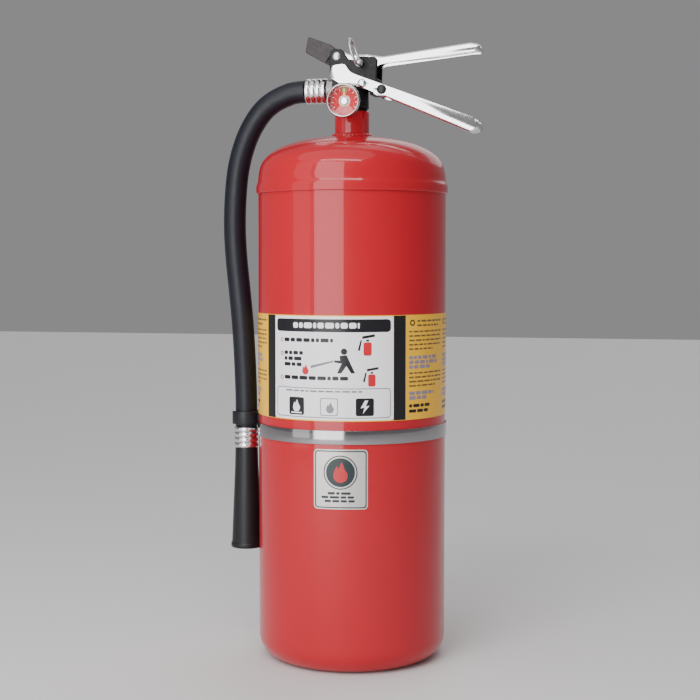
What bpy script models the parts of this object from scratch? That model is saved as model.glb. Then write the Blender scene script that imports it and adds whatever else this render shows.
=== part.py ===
"""Stored-pressure dry-chemical fire extinguisher, 9 kg class, standing upright.

Metres, +Z up.  The origin is the centre of the standing ring, on the floor.  The gauge
and the label face -Y, the hose leaves the valve towards -X and hangs beside the
cylinder, and the carry handle and the operating lever reach out towards +X.
"""
import math

import bmesh
import bpy
from mathutils import Matrix, Vector

MM = 0.001
GAP = 0.3 * MM                  # clearance kept between neighbouring solids

# Cylinder: a deep-drawn cup with a pressed-in base, and a top dome lapped over its rim.
SHELL_R = 92 * MM
SHELL_WALL = 1.8 * MM
CUP_RIM_Z = 462 * MM
BASE_KNUCKLE_R = 22 * MM        # outer bend between the wall and the standing ring
STAND_RING_INNER_R = 62 * MM    # the ring is flat from here out to the knuckle
BASE_PRESS_H = 16 * MM          # how far the base is pressed in above the floor
DOME_LIP_Z = 455 * MM
DOME_LIP_R = 93.9 * MM
DOME_TOP_Z = 511 * MM
NECK_R = 16.85 * MM
NECK_BORE_R = 12.5 * MM
NECK_Z = (504 * MM, 535 * MM)

# Valve, on the cylinder's axis.
VALVE_R = 16.3 * MM
VALVE_BLOCK_Z = (537.6 * MM, 557.5 * MM)
VALVE_THREAD_R = 12.1 * MM
OUTLET_Z = 556 * MM
YOKE_HALF_W = 14.0 * MM         # outside of the two upright cheeks that hold the lever
YOKE_SLOT_HALF_W = 11.4 * MM
SEAT_Z = 546 * MM
STEM_R = 2.9 * MM
STEM_TOP_Z = 586.6 * MM
DIP_TUBE_R = 8.0 * MM
DIP_TUBE_TOP_Z = 516 * MM

# Gauge, in front of the valve.
GAUGE_Z = 542.5 * MM
GAUGE_R = 16.5 * MM
GAUGE_Y = (-27.6 * MM, -38.5 * MM)      # back and front of the case

# Lever and handle, seen from the front as outlines in X and Z.
PIVOT = Vector((-12 * MM, 0, 587.5 * MM))
SHEET = 1.6 * MM
LEVER_HALF_W = 10.9 * MM
HANDLE_HALF_W = 16.0 * MM
HANDLE_RIVET = Vector((13.5 * MM, 0, 560.6 * MM))
HANDLE_CROSS_PIN = Vector((32.9 * MM, 0, 554.4 * MM))
PIN_AXIS = Vector((12.5 * MM, 0, 579.2 * MM))
PIN_R = 2.1 * MM
PIN_EYE_Y = -23 * MM
RING_R = 13.0 * MM
RING_WIRE_R = 1.25 * MM
RING_LEAN = math.radians(18)            # the ring's plane leans towards -X at its top
RING_RISE = math.radians(48)            # from the eye the ring rises forwards by this

# Hose, straight out of the valve, over in one bend and down beside the cylinder.
HOSE_R = 11 * MM
HOSE_ROUTE = [(-46.8, 556), (-55.2, 555.5), (-63.6, 553.7), (-78.5, 547.3), (-91.3, 537.2),
              (-103, 520.5), (-111.5, 500.5), (-117, 478), (-119.8, 450), (-120.5, 420),
              (-118.8, 390), (-115.6, 358), (-112.6, 325), (-110.6, 290), (-109.4, 256),
              (-109.2, 224.3)]
HOSE_STEPS_PER_SPAN = 3
HANG_X = -109.2 * MM                    # axis of the hanging end of the hose
UPPER_FERRULE_X = (-24.3 * MM, -46 * MM)
LOWER_FERRULE_Z = (224 * MM, 202.6 * MM)
FERRULE_R = 12.3 * MM
NOZZLE_Z = (202.3 * MM, 101.5 * MM)
NOZZLE_R = (11.3 * MM, 16.0 * MM)
CLIP_Z = (226.5 * MM, 239.5 * MM)
CLIP_R = 14.6 * MM

# Strap and stickers round the cylinder.
BAND_Z = (219.5 * MM, 232.5 * MM)
BAND_T = 1.0 * MM
LABEL_Z = (241 * MM, 339.5 * MM)
LABEL_HALF_ANGLE = math.radians(118)
BADGE_Z = (159 * MM, 215 * MM)
BADGE_AZIMUTH = math.radians(6.7)       # measured from -Y towards +X
BADGE_HALF_ANGLE = math.radians(15.9)
STICKER_T = 0.4 * MM

BIG_STEPS = 40
SMALL_STEPS = 20
ROD_TWIST = 0.13                # keeps the facets of crossing bores from lining up

for leftover in list(bpy.data.objects):
    bpy.data.objects.remove(leftover, do_unlink=True)
parts = bpy.data.collections.new("fire_extinguisher")
cutters = bpy.data.collections.new("cutters")
for collection in (parts, cutters):
    bpy.context.scene.collection.children.link(collection)
materials = {}


def material(name, colour, roughness, metallic=0.0):
    """One Principled material for each finish."""
    if name not in materials:
        made = bpy.data.materials.new(name)
        made.use_nodes = True
        shader = made.node_tree.nodes["Principled BSDF"]
        shader.inputs["Base Color"].default_value = (*colour, 1.0)
        shader.inputs["Roughness"].default_value = roughness
        shader.inputs["Metallic"].default_value = metallic
        materials[name] = made
    return materials[name]


def red_paint():
    return material("red_paint", (0.55, 0.02, 0.03), 0.25)


def chrome():
    return material("chrome_plate", (0.80, 0.80, 0.82), 0.12, 1.0)


def dark_metal():
    return material("dark_cast_metal", (0.05, 0.05, 0.055), 0.45, 0.6)


def steel():
    return material("steel", (0.62, 0.62, 0.63), 0.3, 1.0)


def brass():
    return material("brass", (0.72, 0.52, 0.22), 0.3, 1.0)


def rubber():
    return material("rubber", (0.02, 0.022, 0.028), 0.6)


def black_plastic():
    return material("black_plastic", (0.025, 0.026, 0.03), 0.45)


def place(obj, collection=parts):
    collection.objects.link(obj)
    if collection is cutters:
        obj.hide_render = True
        obj.display_type = "WIRE"
    return obj


def shade(obj, angle=math.radians(35)):
    obj.data.shade_smooth()
    obj.data.set_sharp_from_angle(angle=angle)
    return obj


def turned(name, profile, finish, closed=True, steps=SMALL_STEPS, collection=parts):
    """A profile of (radius, height) turned about the object's own Z axis.

    A closed profile is a ring's section; an open one starts and ends on the axis.
    """
    mesh = bpy.data.meshes.new(name)
    points = [(r, 0, z) for r, z in profile]
    edges = [(i, i + 1) for i in range(len(points) - 1)]
    if closed:
        edges.append((len(points) - 1, 0))
    mesh.from_pydata(points, edges, [])
    obj = place(bpy.data.objects.new(name, mesh), collection)
    screw = obj.modifiers.new("turn", "SCREW")
    screw.axis = "Z"
    screw.steps = screw.render_steps = steps
    screw.use_merge_vertices = True
    screw.merge_threshold = 0.00001
    screw.use_smooth_shade = True
    if finish:
        mesh.materials.append(finish)
    return obj


def arc(centre, radius, start, stop, count):
    """Points of an arc, angles in degrees from +X (outwards) towards +Z (up)."""
    angles = [math.radians(start + (stop - start) * i / (count - 1)) for i in range(count)]
    return [(centre[0] + radius * math.cos(a), centre[1] + radius * math.sin(a)) for a in angles]


def rounded(corners, radius, count=3):
    """A closed outline with every corner rounded, each by its own or a shared radius."""
    radii = radius if isinstance(radius, (list, tuple)) else [radius] * len(corners)
    outline = []
    for i, corner in enumerate(corners):
        here = Vector(corner)
        before = Vector(corners[i - 1]) - here
        after = Vector(corners[(i + 1) % len(corners)]) - here
        bend = before.angle(after)
        if radii[i] <= 0 or bend > math.radians(176):
            outline.append(tuple(here))
            continue
        cut_back = min(radii[i] / math.tan(bend / 2), 0.48 * before.length, 0.48 * after.length)
        start, stop = here + before.normalized() * cut_back, here + after.normalized() * cut_back
        for step in range(count + 1):
            t = step / count
            outline.append(tuple((1 - t) ** 2 * start + 2 * t * (1 - t) * here + t ** 2 * stop))
    return outline


def as_mesh(curve_object, finish, collection):
    """Turn a curve object into a closed mesh object in the same place."""
    bpy.context.view_layer.update()
    graph = bpy.context.evaluated_depsgraph_get()
    mesh = bpy.data.meshes.new_from_object(curve_object.evaluated_get(graph))
    name, where = curve_object.name, curve_object.matrix_world.copy()
    bpy.data.objects.remove(curve_object)
    cage = bmesh.new()
    cage.from_mesh(mesh)
    bmesh.ops.remove_doubles(cage, verts=cage.verts, dist=0.00001)
    bmesh.ops.recalc_face_normals(cage, faces=cage.faces)
    cage.to_mesh(mesh)
    cage.free()
    mesh.name = name
    obj = bpy.data.objects.new(name, mesh)
    obj.matrix_world = where
    obj.name = name
    mesh.materials.clear()
    if finish:
        mesh.materials.append(finish)
    return place(obj, collection)


def outline_solid(name, outline, thickness, where, finish, collection=parts):
    """A flat outline in the local XY plane, thickened evenly to both sides."""
    curve = bpy.data.curves.new(name, "CURVE")
    curve.dimensions = "2D"
    curve.fill_mode = "BOTH"
    curve.extrude = thickness / 2
    spline = curve.splines.new("POLY")
    spline.points.add(len(outline) - 1)
    for point, (x, y) in zip(spline.points, outline):
        point.co = (x, y, 0, 1)
    spline.use_cyclic_u = True
    obj = bpy.data.objects.new(name, curve)
    obj.matrix_world = where
    bpy.context.scene.collection.objects.link(obj)
    return as_mesh(obj, finish, collection)


def side_on(y=0.0):
    """Stands an outline of X and Z up in the XZ plane, at the depth y."""
    return Matrix.Translation((0, y, 0)) @ Matrix.Rotation(math.radians(90), 4, "X")


def flat_at(z):
    return Matrix.Translation((0, 0, z))


def aimed(obj, centre, axis):
    """Puts a turned object's own +Z along an axis, with its origin at a point."""
    turn = Vector((0, 0, 1)).rotation_difference(Vector(axis)).to_matrix().to_4x4()
    obj.matrix_world = Matrix.Translation(centre) @ turn
    return obj


def rod(name, start, stop, radius, finish=None, collection=cutters, steps=12):
    """A plain round bar from one point to another."""
    start, stop = Vector(start), Vector(stop)
    length = (stop - start).length
    bar = turned(name, [(0, length), (radius, length), (radius, 0), (0, 0)], finish, False,
                 steps, collection)
    aimed(bar, start, stop - start)
    bar.matrix_world = bar.matrix_world @ Matrix.Rotation(ROD_TWIST, 4, "Z")
    return bar


def box(name, low, high, finish=None, collection=cutters):
    mesh = bpy.data.meshes.new(name)
    cage = bmesh.new()
    bmesh.ops.create_cube(cage, size=1.0)
    low, high = Vector(low), Vector(high)
    for vert in cage.verts:
        vert.co = Vector(((low + high)[i] / 2 + vert.co[i] * (high - low)[i] for i in range(3)))
    cage.to_mesh(mesh)
    cage.free()
    if finish:
        mesh.materials.append(finish)
    return place(bpy.data.objects.new(name, mesh), collection)


def boolean(target, tool, operation, solver="EXACT"):
    step = target.modifiers.new(operation.lower(), "BOOLEAN")
    step.operation = operation
    step.solver = solver
    step.object = tool


def cut(target, *tools, solver="EXACT"):
    for tool in tools:
        boolean(target, tool, "DIFFERENCE", solver)


def weld(target, *tools):
    for tool in tools:
        boolean(target, tool, "UNION")


# ---------------------------------------------------------------- cylinder

def shell_cup():
    """Wall, knuckle, standing ring and pressed-in base, one even thickness throughout."""
    knuckle = (SHELL_R - BASE_KNUCKLE_R, BASE_KNUCKLE_R)
    ring_in, wall = STAND_RING_INNER_R, SHELL_WALL
    inside = [(0, BASE_PRESS_H + wall), (ring_in - 40 * MM, BASE_PRESS_H - MM + wall),
              (ring_in - 19 * MM, 11 * MM + wall), (ring_in - 6 * MM, 5 * MM + wall),
              (ring_in + MM, wall)]
    inside += arc(knuckle, BASE_KNUCKLE_R - wall, -90, 0, 5) + [(SHELL_R - wall, CUP_RIM_Z)]
    outside = [(SHELL_R, CUP_RIM_Z)] + arc(knuckle, BASE_KNUCKLE_R, 0, -90, 6)
    outside += [(ring_in, 0), (ring_in - 8 * MM, 5 * MM), (ring_in - 20 * MM, 11 * MM),
                (ring_in - 40 * MM, BASE_PRESS_H - MM), (0, BASE_PRESS_H)]
    return turned("shell_cup", inside + outside, red_paint(), closed=False, steps=BIG_STEPS)


def top_dome():
    """Shallow crown with a lip that laps over the cup's rim, and a hole for the neck."""
    wall = SHELL_WALL
    hole = NECK_R + GAP
    outside = [(hole, 510.7 * MM), (28 * MM, 509.9 * MM), (42 * MM, 507.9 * MM),
               (56 * MM, 504.9 * MM), (68 * MM, 500.9 * MM), (77.5 * MM, 495.9 * MM),
               (84.5 * MM, 490.3 * MM), (89.2 * MM, 483.3 * MM), (91.4 * MM, 475 * MM),
               (92.1 * MM, 467.5 * MM), (DOME_LIP_R, 463.6 * MM), (DOME_LIP_R, DOME_LIP_Z)]
    lap_r = SHELL_R + GAP
    inside = [(lap_r, DOME_LIP_Z), (lap_r, CUP_RIM_Z + GAP), (SHELL_R - wall, 465.5 * MM),
              (89.4 * MM, 475 * MM), (87 * MM, 482.2 * MM), (82.5 * MM, 488.4 * MM),
              (75.5 * MM, 494 * MM), (66 * MM, 498.8 * MM), (50 * MM, 504.2 * MM),
              (30 * MM, 507.8 * MM), (hole, 508.9 * MM)]
    return turned("top_dome", outside + inside, red_paint(), steps=BIG_STEPS)


def neck_collar():
    """Threaded ring welded into the dome; its foot flares where the weld bead runs."""
    low, high = NECK_Z
    foot = DOME_TOP_Z + GAP
    profile = [(NECK_BORE_R, high), (NECK_R - MM, high), (NECK_R, high - MM),
               (NECK_R, foot + 5 * MM), (NECK_R + 1.2 * MM, foot + 2 * MM),
               (NECK_R + 3.4 * MM, foot), (NECK_R, foot), (NECK_R, low), (NECK_BORE_R, low)]
    return turned("neck_collar", profile, red_paint(), steps=24)


def powder_charge():
    """The packed dry chemical, round the dip tube and up to about two thirds."""
    r = SHELL_R - SHELL_WALL - 1.2 * MM
    bore = DIP_TUBE_R + 0.6 * MM
    floor = BASE_PRESS_H + SHELL_WALL + MM
    profile = [(bore, 352 * MM), (r, 344 * MM), (r, floor + 10 * MM), (r - 6 * MM, floor + 2 * MM),
               (r - 12 * MM, floor), (bore, floor)]
    finish = material("pale_yellow_powder", (0.78, 0.74, 0.55), 0.9)
    return turned("powder_charge", profile, finish, steps=BIG_STEPS)


def dip_tube():
    outer, inner, foot = DIP_TUBE_R, DIP_TUBE_R - 1.6 * MM, 24 * MM
    profile = [(inner, DIP_TUBE_TOP_Z), (outer, DIP_TUBE_TOP_Z), (outer, foot), (inner, foot)]
    finish = material("clear_nylon", (0.75, 0.75, 0.70), 0.5)
    return turned("dip_tube", profile, finish)


# ---------------------------------------------------------------- valve

def valve_body():
    """Cast block: threaded tail, round body, outlet and gauge bosses, and a lever yoke."""
    low, high = VALVE_BLOCK_Z
    tail = 500 * MM
    body = turned("valve_body", [(0, high), (VALVE_R - MM, high), (VALVE_R, high - MM),
                                 (VALVE_R, low + 1.5 * MM), (VALVE_R - 2 * MM, low),
                                 (VALVE_THREAD_R, low), (VALVE_THREAD_R, tail), (0, tail)],
                  dark_metal(), closed=False, steps=28)
    yoke_outline = rounded([(-16.8 * MM, 556.8 * MM), (27.2 * MM, 556.8 * MM),
                            (27.8 * MM, 586 * MM), (13 * MM, 586.6 * MM), (6 * MM, 583.5 * MM),
                            (-1 * MM, 584.5 * MM), (-6.5 * MM, 594.5 * MM),
                            (-19 * MM, 594.5 * MM), (-19 * MM, 571 * MM), (-16.8 * MM, 568.6 * MM)],
                           [1 * MM, 2 * MM, 4 * MM, 3 * MM, 5 * MM, 3 * MM, 5 * MM, 6 * MM,
                            1 * MM, 1 * MM])
    yoke = outline_solid("yoke_shape", yoke_outline, 2 * YOKE_HALF_W, side_on(), None, cutters)
    tail_outline = rounded([(20 * MM, 549.8 * MM), (38 * MM, 549.8 * MM), (38.5 * MM, 559 * MM),
                            (20 * MM, 562 * MM)], 1.5 * MM)
    tail_lug = outline_solid("tail_lug_shape", tail_outline, 22 * MM, side_on(), None, cutters)
    outlet = rod("outlet_boss_shape", (0, 0, OUTLET_Z), (-17 * MM, 0, OUTLET_Z), 10 * MM)
    gauge_boss = rod("gauge_boss_shape", (0, 0, GAUGE_Z), (0, -20 * MM, GAUGE_Z), 4.9 * MM)
    weld(body, yoke, tail_lug, outlet, gauge_boss)

    slot_line = [(-30 * MM, 600 * MM), (-30 * MM, 570 * MM), (7 * MM, 570 * MM), (9 * MM, 566.2 * MM),
                 (40 * MM, 566.2 * MM), (40 * MM, 600 * MM)]
    slot = outline_solid("yoke_slot_cut", slot_line, 2 * YOKE_SLOT_HALF_W, side_on(), None, cutters)
    inlet_r, seat_r, chamber_r, packing_r = DIP_TUBE_R + GAP, 4.6 * MM, 6.4 * MM, 5.3 * MM
    guide_r, seat_top, chamber_top, packing_base = STEM_R + GAP, 549.5 * MM, 560 * MM, 563 * MM
    bore = turned("stepped_bore_cut", [
        (0, 580 * MM), (packing_r, 580 * MM), (packing_r, packing_base), (guide_r, packing_base),
        (guide_r, chamber_top), (chamber_r, chamber_top), (chamber_r, seat_top),
        (seat_r, seat_top), (seat_r, SEAT_Z), (inlet_r, SEAT_Z), (inlet_r, 495 * MM),
        (0, 495 * MM)], None, closed=False, steps=20, collection=cutters)
    outlet_bore = rod("outlet_cut", (-1.3 * MM, 0, OUTLET_Z), (-20 * MM, 0, OUTLET_Z), 5.4 * MM)
    gauge_port = rod("gauge_port_cut", (0, -2.2 * MM, GAUGE_Z - 1.5 * MM),
                     (0, -15 * MM, GAUGE_Z - 1.5 * MM), 1.6 * MM)
    gauge_socket = rod("gauge_socket_cut", (0, -12 * MM, GAUGE_Z), (0, -22 * MM, GAUGE_Z), 3.9 * MM)
    pivot_hole = rod("pivot_hole_cut", PIVOT + Vector((0, -20 * MM, 0)),
                     PIVOT + Vector((0, 20 * MM, 0)), 2.8 * MM)
    pin_hole = rod("pin_hole_cut", PIN_AXIS + Vector((0, -20 * MM, 0)),
                   PIN_AXIS + Vector((0, 20 * MM, 0)), PIN_R + GAP)
    rivet_hole = rod("rivet_hole_cut", HANDLE_RIVET + Vector((0, -20 * MM, 0)),
                     HANDLE_RIVET + Vector((0, 20 * MM, 0)), 2.5 * MM)
    cross_hole = rod("cross_hole_cut", HANDLE_CROSS_PIN + Vector((0, -20 * MM, 0)),
                     HANDLE_CROSS_PIN + Vector((0, 20 * MM, 0)), 2.5 * MM)
    cut(body, slot, bore, outlet_bore, gauge_port, gauge_socket,
        pivot_hole, pin_hole, rivet_hole, cross_hole, solver="MANIFOLD")
    return body


def neck_o_ring():
    return torus("neck_o_ring", (0, 0, NECK_Z[1] + 1.3 * MM), (0, 0, 1), 14.2 * MM, 0.95 * MM,
                 rubber(), 24, 6)


def torus(name, centre, axis, ring_radius, wire_radius, finish, around, across):
    """A round ring of round wire, as the turned section of its wire."""
    section = [(ring_radius + wire_radius * math.cos(a), -wire_radius * math.sin(a))
               for a in (2 * math.pi * i / across for i in range(across))]
    return aimed(turned(name, section, finish, steps=around), centre, axis)


def valve_stem():
    """Push button, rod and poppet in one turned piece, with a tail that guides the spring."""
    poppet_top = SEAT_Z - 1.9 * MM
    profile = [(0, STEM_TOP_Z), (3.6 * MM, STEM_TOP_Z), (4.6 * MM, STEM_TOP_Z - MM),
               (4.6 * MM, STEM_TOP_Z - 4 * MM), (STEM_R, STEM_TOP_Z - 5 * MM), (STEM_R, poppet_top),
               (7.4 * MM, poppet_top), (7.4 * MM, poppet_top - 3.4 * MM),
               (3.2 * MM, poppet_top - 3.4 * MM), (3.2 * MM, poppet_top - 11 * MM),
               (0, poppet_top - 12 * MM)]
    return turned("valve_stem", profile, brass(), closed=False)


def stem_seal():
    top, base = SEAT_Z - GAP, SEAT_Z - 1.9 * MM + GAP
    profile = [(STEM_R + GAP, top), (6.9 * MM, top), (6.9 * MM, base), (STEM_R + GAP, base)]
    return turned("stem_seal", profile, rubber())


def stem_o_ring():
    return torus("stem_o_ring", (0, 0, 564.3 * MM), (0, 0, 1), 4.1 * MM, 0.8 * MM, rubber(), 16, 6)


def gland_ring():
    """Keeps the stem's seal in its pocket."""
    profile = [(STEM_R + GAP, 569.4 * MM), (5.0 * MM, 569.4 * MM), (5.0 * MM, 565.6 * MM),
               (STEM_R + GAP, 565.6 * MM)]
    return turned("gland_ring", profile, brass())


def stem_spring():
    """Open coil between the dip tube's top and the poppet, with closed-in end turns."""
    turns, per_turn, coil_r, wire_r = 5, 10, 5.7 * MM, 0.65 * MM
    low, high = DIP_TUBE_TOP_Z + 1.1 * MM, SEAT_Z - 6.4 * MM
    total = turns * per_turn
    curve = bpy.data.curves.new("stem_spring", "CURVE")
    curve.dimensions = "3D"
    curve.bevel_depth = wire_r
    curve.bevel_resolution = 2
    curve.use_fill_caps = True
    spline = curve.splines.new("POLY")
    spline.points.add(total)
    for i, point in enumerate(spline.points):
        angle = 2 * math.pi * i / per_turn
        point.co = (coil_r * math.cos(angle), coil_r * math.sin(angle),
                    low + (high - low) * i / total, 1)
    obj = place(bpy.data.objects.new("stem_spring", curve))
    curve.materials.append(steel())
    return obj


# ---------------------------------------------------------------- gauge

def gauge_turned(name, profile, finish, closed=True, steps=28):
    """Turned about the gauge's axis; heights are distances from the valve axis forwards."""
    return aimed(turned(name, profile, finish, closed, steps), (0, 0, GAUGE_Z), (0, -1, 0))


def gauge():
    back, front = -GAUGE_Y[0], -GAUGE_Y[1]
    cup_floor = back + 2.6 * MM
    case = [(14.3 * MM, front), (GAUGE_R - 1.2 * MM, front), (GAUGE_R, front - 1.2 * MM),
            (GAUGE_R, front - 4 * MM), (GAUGE_R - 1.4 * MM, front - 5 * MM),
            (GAUGE_R - 1.4 * MM, back + 1.5 * MM), (GAUGE_R - 3 * MM, back), (0, back)]
    floor = [(0, cup_floor), (14.3 * MM, cup_floor)]
    gauge_turned("gauge_case", floor + case, steel(), closed=False)
    gauge_turned("gauge_stem", [(0, back - GAP), (4.2 * MM, back - GAP), (4.2 * MM, 21 * MM),
                                (3.6 * MM, 20.5 * MM), (3.6 * MM, 12.5 * MM), (0, 12.5 * MM)],
                 brass(), closed=False, steps=20)
    dial_back = cup_floor + GAP
    gauge_turned("gauge_dial", [(1.4 * MM, dial_back + 0.8 * MM), (13.9 * MM, dial_back + 0.8 * MM),
                                (13.9 * MM, dial_back), (1.4 * MM, dial_back)],
                 material("gauge_face", (0.75, 0.18, 0.17), 0.4))
    needle(dial_back)
    lens = [(0, front - 1.0 * MM), (13.9 * MM, front - 1.6 * MM), (13.9 * MM, front - 2.8 * MM),
            (0, front - 2.2 * MM)]
    gauge_turned("gauge_lens", lens, material("clear_lens", (0.9, 0.92, 0.92), 0.05), closed=False)


def needle(dial_back):
    """Pointer with a round boss; its spindle runs through the dial."""
    face = dial_back + 1.2 * MM
    pointer = gauge_turned("gauge_needle", [(0, face + 1.4 * MM), (3.2 * MM, face + 1.2 * MM),
                                            (3.2 * MM, face), (0.9 * MM, face),
                                            (0.9 * MM, dial_back + 0.1 * MM),
                                            (0, dial_back + 0.1 * MM)],
                           material("needle_yellow", (0.70, 0.62, 0.30), 0.4), closed=False,
                           steps=20)
    blade = rounded([(-1.5 * MM, -6 * MM), (1.5 * MM, -6 * MM), (0.7 * MM, 12 * MM),
                     (-0.7 * MM, 12 * MM)], 0.4 * MM, 2)
    where = Matrix.Translation((0, -(face + 0.4 * MM), GAUGE_Z)) @ side_on()
    weld(pointer, outline_solid("needle_blade_shape", blade, 0.6 * MM, where, None, cutters))


# ---------------------------------------------------------------- lever, handle and pins

def carry_handle():
    """Trough of sheet metal, open at the top, whose cheeks straddle the valve."""
    corners = [(122 * MM, 525.8 * MM), (1.6 * MM, 571.4 * MM), (-3.5 * MM, 580 * MM),
               (-16.5 * MM, 578.5 * MM), (-18 * MM, 567.5 * MM), (-9 * MM, 561.5 * MM),
               (8 * MM, 558.2 * MM), (24 * MM, 552.5 * MM), (28 * MM, 548.5 * MM),
               (36 * MM, 547 * MM), (120 * MM, 511.2 * MM), (127 * MM, 514.2 * MM)]
    radii = [3 * MM, 14 * MM, 5 * MM, 5 * MM, 5 * MM, 6 * MM, 6 * MM, 3 * MM, 3 * MM, 4 * MM,
             6 * MM, 6 * MM]
    handle = outline_solid("carry_handle", rounded(corners, radii), 2 * HANDLE_HALF_W, side_on(),
                           chrome())
    slope = (511.2 - 547) / (120 - 36)
    web_start, floor = 40 * MM, 547 * MM + SHEET * 1.1
    trough = [(-40 * MM, 620 * MM), (-40 * MM, 530 * MM), (web_start, 530 * MM),
              (web_start, floor + 4 * MM * slope), (120 * MM, floor + 84 * MM * slope),
              (125.2 * MM, floor + 86 * MM * slope + 3 * MM), (127 * MM, 620 * MM)]
    hollow = outline_solid("handle_hollow_cut", trough, 2 * (HANDLE_HALF_W - SHEET), side_on(),
                           None, cutters)
    cut(handle, hollow)
    for label, centre in (("rivet", HANDLE_RIVET), ("cross_pin", HANDLE_CROSS_PIN)):
        cut(handle, rod(f"handle_{label}_hole_cut", centre + Vector((0, -25 * MM, 0)),
                        centre + Vector((0, 25 * MM, 0)), 2.5 * MM))
    return handle


def operating_lever():
    """Channel of sheet metal, open below; tall cheeks at the pivot and a long grip."""
    corners = [(-17 * MM, 582.2 * MM), (-17 * MM, 592.3 * MM), (-7 * MM, 592.3 * MM),
               (2 * MM, 589.3 * MM), (17 * MM, 589.2 * MM), (32 * MM, 586.6 * MM),
               (118 * MM, 597 * MM), (127.5 * MM, 594.8 * MM), (127.5 * MM, 589 * MM),
               (118 * MM, 588.4 * MM), (32 * MM, 579.4 * MM), (20 * MM, 574.6 * MM),
               (9 * MM, 574.6 * MM), (3 * MM, 582.2 * MM)]
    radii = [4 * MM, 4 * MM, 5 * MM, 6 * MM, 14 * MM, 14 * MM, 8 * MM, 4 * MM, 3 * MM, 8 * MM,
             6 * MM, 3 * MM, 2 * MM, 3 * MM]
    lever = outline_solid("operating_lever", rounded(corners, radii), 2 * LEVER_HALF_W, side_on(),
                          chrome())
    under = [(-15.4 * MM, 560 * MM), (-15.4 * MM, 590.7 * MM), (-7.3 * MM, 590.7 * MM),
             (1.7 * MM, 587.6 * MM), (16.7 * MM, 587.6 * MM), (31.9 * MM, 585 * MM),
             (118 * MM, 595.4 * MM), (125.9 * MM, 593.5 * MM), (125.9 * MM, 560 * MM)]
    hollow = outline_solid("lever_hollow_cut", rounded(under, [0, 2 * MM, 4 * MM, 6 * MM, 14 * MM,
                                                               14 * MM, 7 * MM, 3 * MM, 0]),
                           2 * (LEVER_HALF_W - SHEET), side_on(), None, cutters)
    pivot_hole = rod("lever_pivot_hole_cut", PIVOT + Vector((0, -20 * MM, 0)),
                     PIVOT + Vector((0, 20 * MM, 0)), 2.8 * MM)
    reach = PIN_R + 0.5 * MM
    x, z = PIN_AXIS.x, PIN_AXIS.z
    slot = rounded([(x - reach - 1.2 * MM, z - reach), (x + reach, z - reach),
                    (x + reach + 1.4 * MM, 587.1 * MM), (x - reach - MM, 587.1 * MM)], 1.5 * MM)
    pin_slot = outline_solid("lever_pin_slot_cut", slot, 40 * MM, side_on(), None, cutters)
    cut(lever, hollow, pivot_hole, pin_slot)
    return lever


def lever_tongue():
    """Flat dark plate that stands up from the lever's nose, in front of the pivot."""
    corners = [(-41.5 * MM, 608 * MM), (-18.3 * MM, 599.2 * MM), (-14.5 * MM, 594.9 * MM),
               (-24.3 * MM, 581.5 * MM), (-44.3 * MM, 592.5 * MM)]
    tongue = outline_solid("lever_tongue", rounded(corners, [2.5 * MM, 2 * MM, 1 * MM, 2 * MM,
                                                             3 * MM]),
                           2 * LEVER_HALF_W, side_on(), material("dark_grey_steel",
                                                                 (0.06, 0.055, 0.057), 0.5, 0.5))
    hollow = [(-60 * MM, 612 * MM), (-43 * MM, 606.8 * MM), (-19 * MM, 597.8 * MM),
              (-10 * MM, 594 * MM), (-10 * MM, 570 * MM), (-60 * MM, 570 * MM)]
    cut(tongue, outline_solid("tongue_hollow_cut", hollow, 2 * (LEVER_HALF_W - SHEET), side_on(),
                              None, cutters))
    return tongue


def cross_rivet(name, centre, radius, head_radius, reach, finish):
    """Round rivet across the machine, domed at both ends."""
    head = 1.6 * MM
    profile = [(0, reach + head), (head_radius * 0.6, reach + head * 0.8), (head_radius, reach),
               (radius, reach), (radius, -reach), (head_radius, -reach),
               (head_radius * 0.6, -reach - head * 0.8), (0, -reach - head)]
    return aimed(turned(name, profile, finish, closed=False, steps=20), centre, (0, 1, 0))


def pull_pin():
    """Smooth pin with a round head; a slanting eye through the head takes the ring."""
    eye = PIN_AXIS + Vector((0, PIN_EYE_Y, 0))
    tip_y = 18 * MM
    profile = [(0, 26.2 * MM), (2.6 * MM, 25.6 * MM), (3.7 * MM, 23 * MM), (3.2 * MM, 20 * MM),
               (PIN_R, 18.2 * MM), (PIN_R, -tip_y + MM), (PIN_R - MM, -tip_y), (0, -tip_y)]
    pin = aimed(turned("pull_pin", profile, steel(), closed=False, steps=20), PIN_AXIS, (0, -1, 0))
    axis = ring_directions()[0]
    cut(pin, rod("pin_eye_cut", eye - axis * 8 * MM, eye + axis * 8 * MM, RING_WIRE_R + 0.6 * MM))
    return pin


def ring_directions():
    """The eye's axis, the way from the eye to the ring's centre, and the ring's own axis."""
    up = Vector((-math.sin(RING_LEAN), 0, math.cos(RING_LEAN)))
    forward = Vector((0, -1, 0))
    to_centre = forward * math.cos(RING_RISE) + up * math.sin(RING_RISE)
    along_eye = up * math.cos(RING_RISE) - forward * math.sin(RING_RISE)
    return along_eye, to_centre, along_eye.cross(to_centre)


def pull_ring():
    eye = PIN_AXIS + Vector((0, PIN_EYE_Y, 0))
    _, to_centre, normal = ring_directions()
    return torus("pull_ring", eye + to_centre * RING_R, normal, RING_R, RING_WIRE_R, steel(), 26, 8)


# ---------------------------------------------------------------- hose

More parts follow.
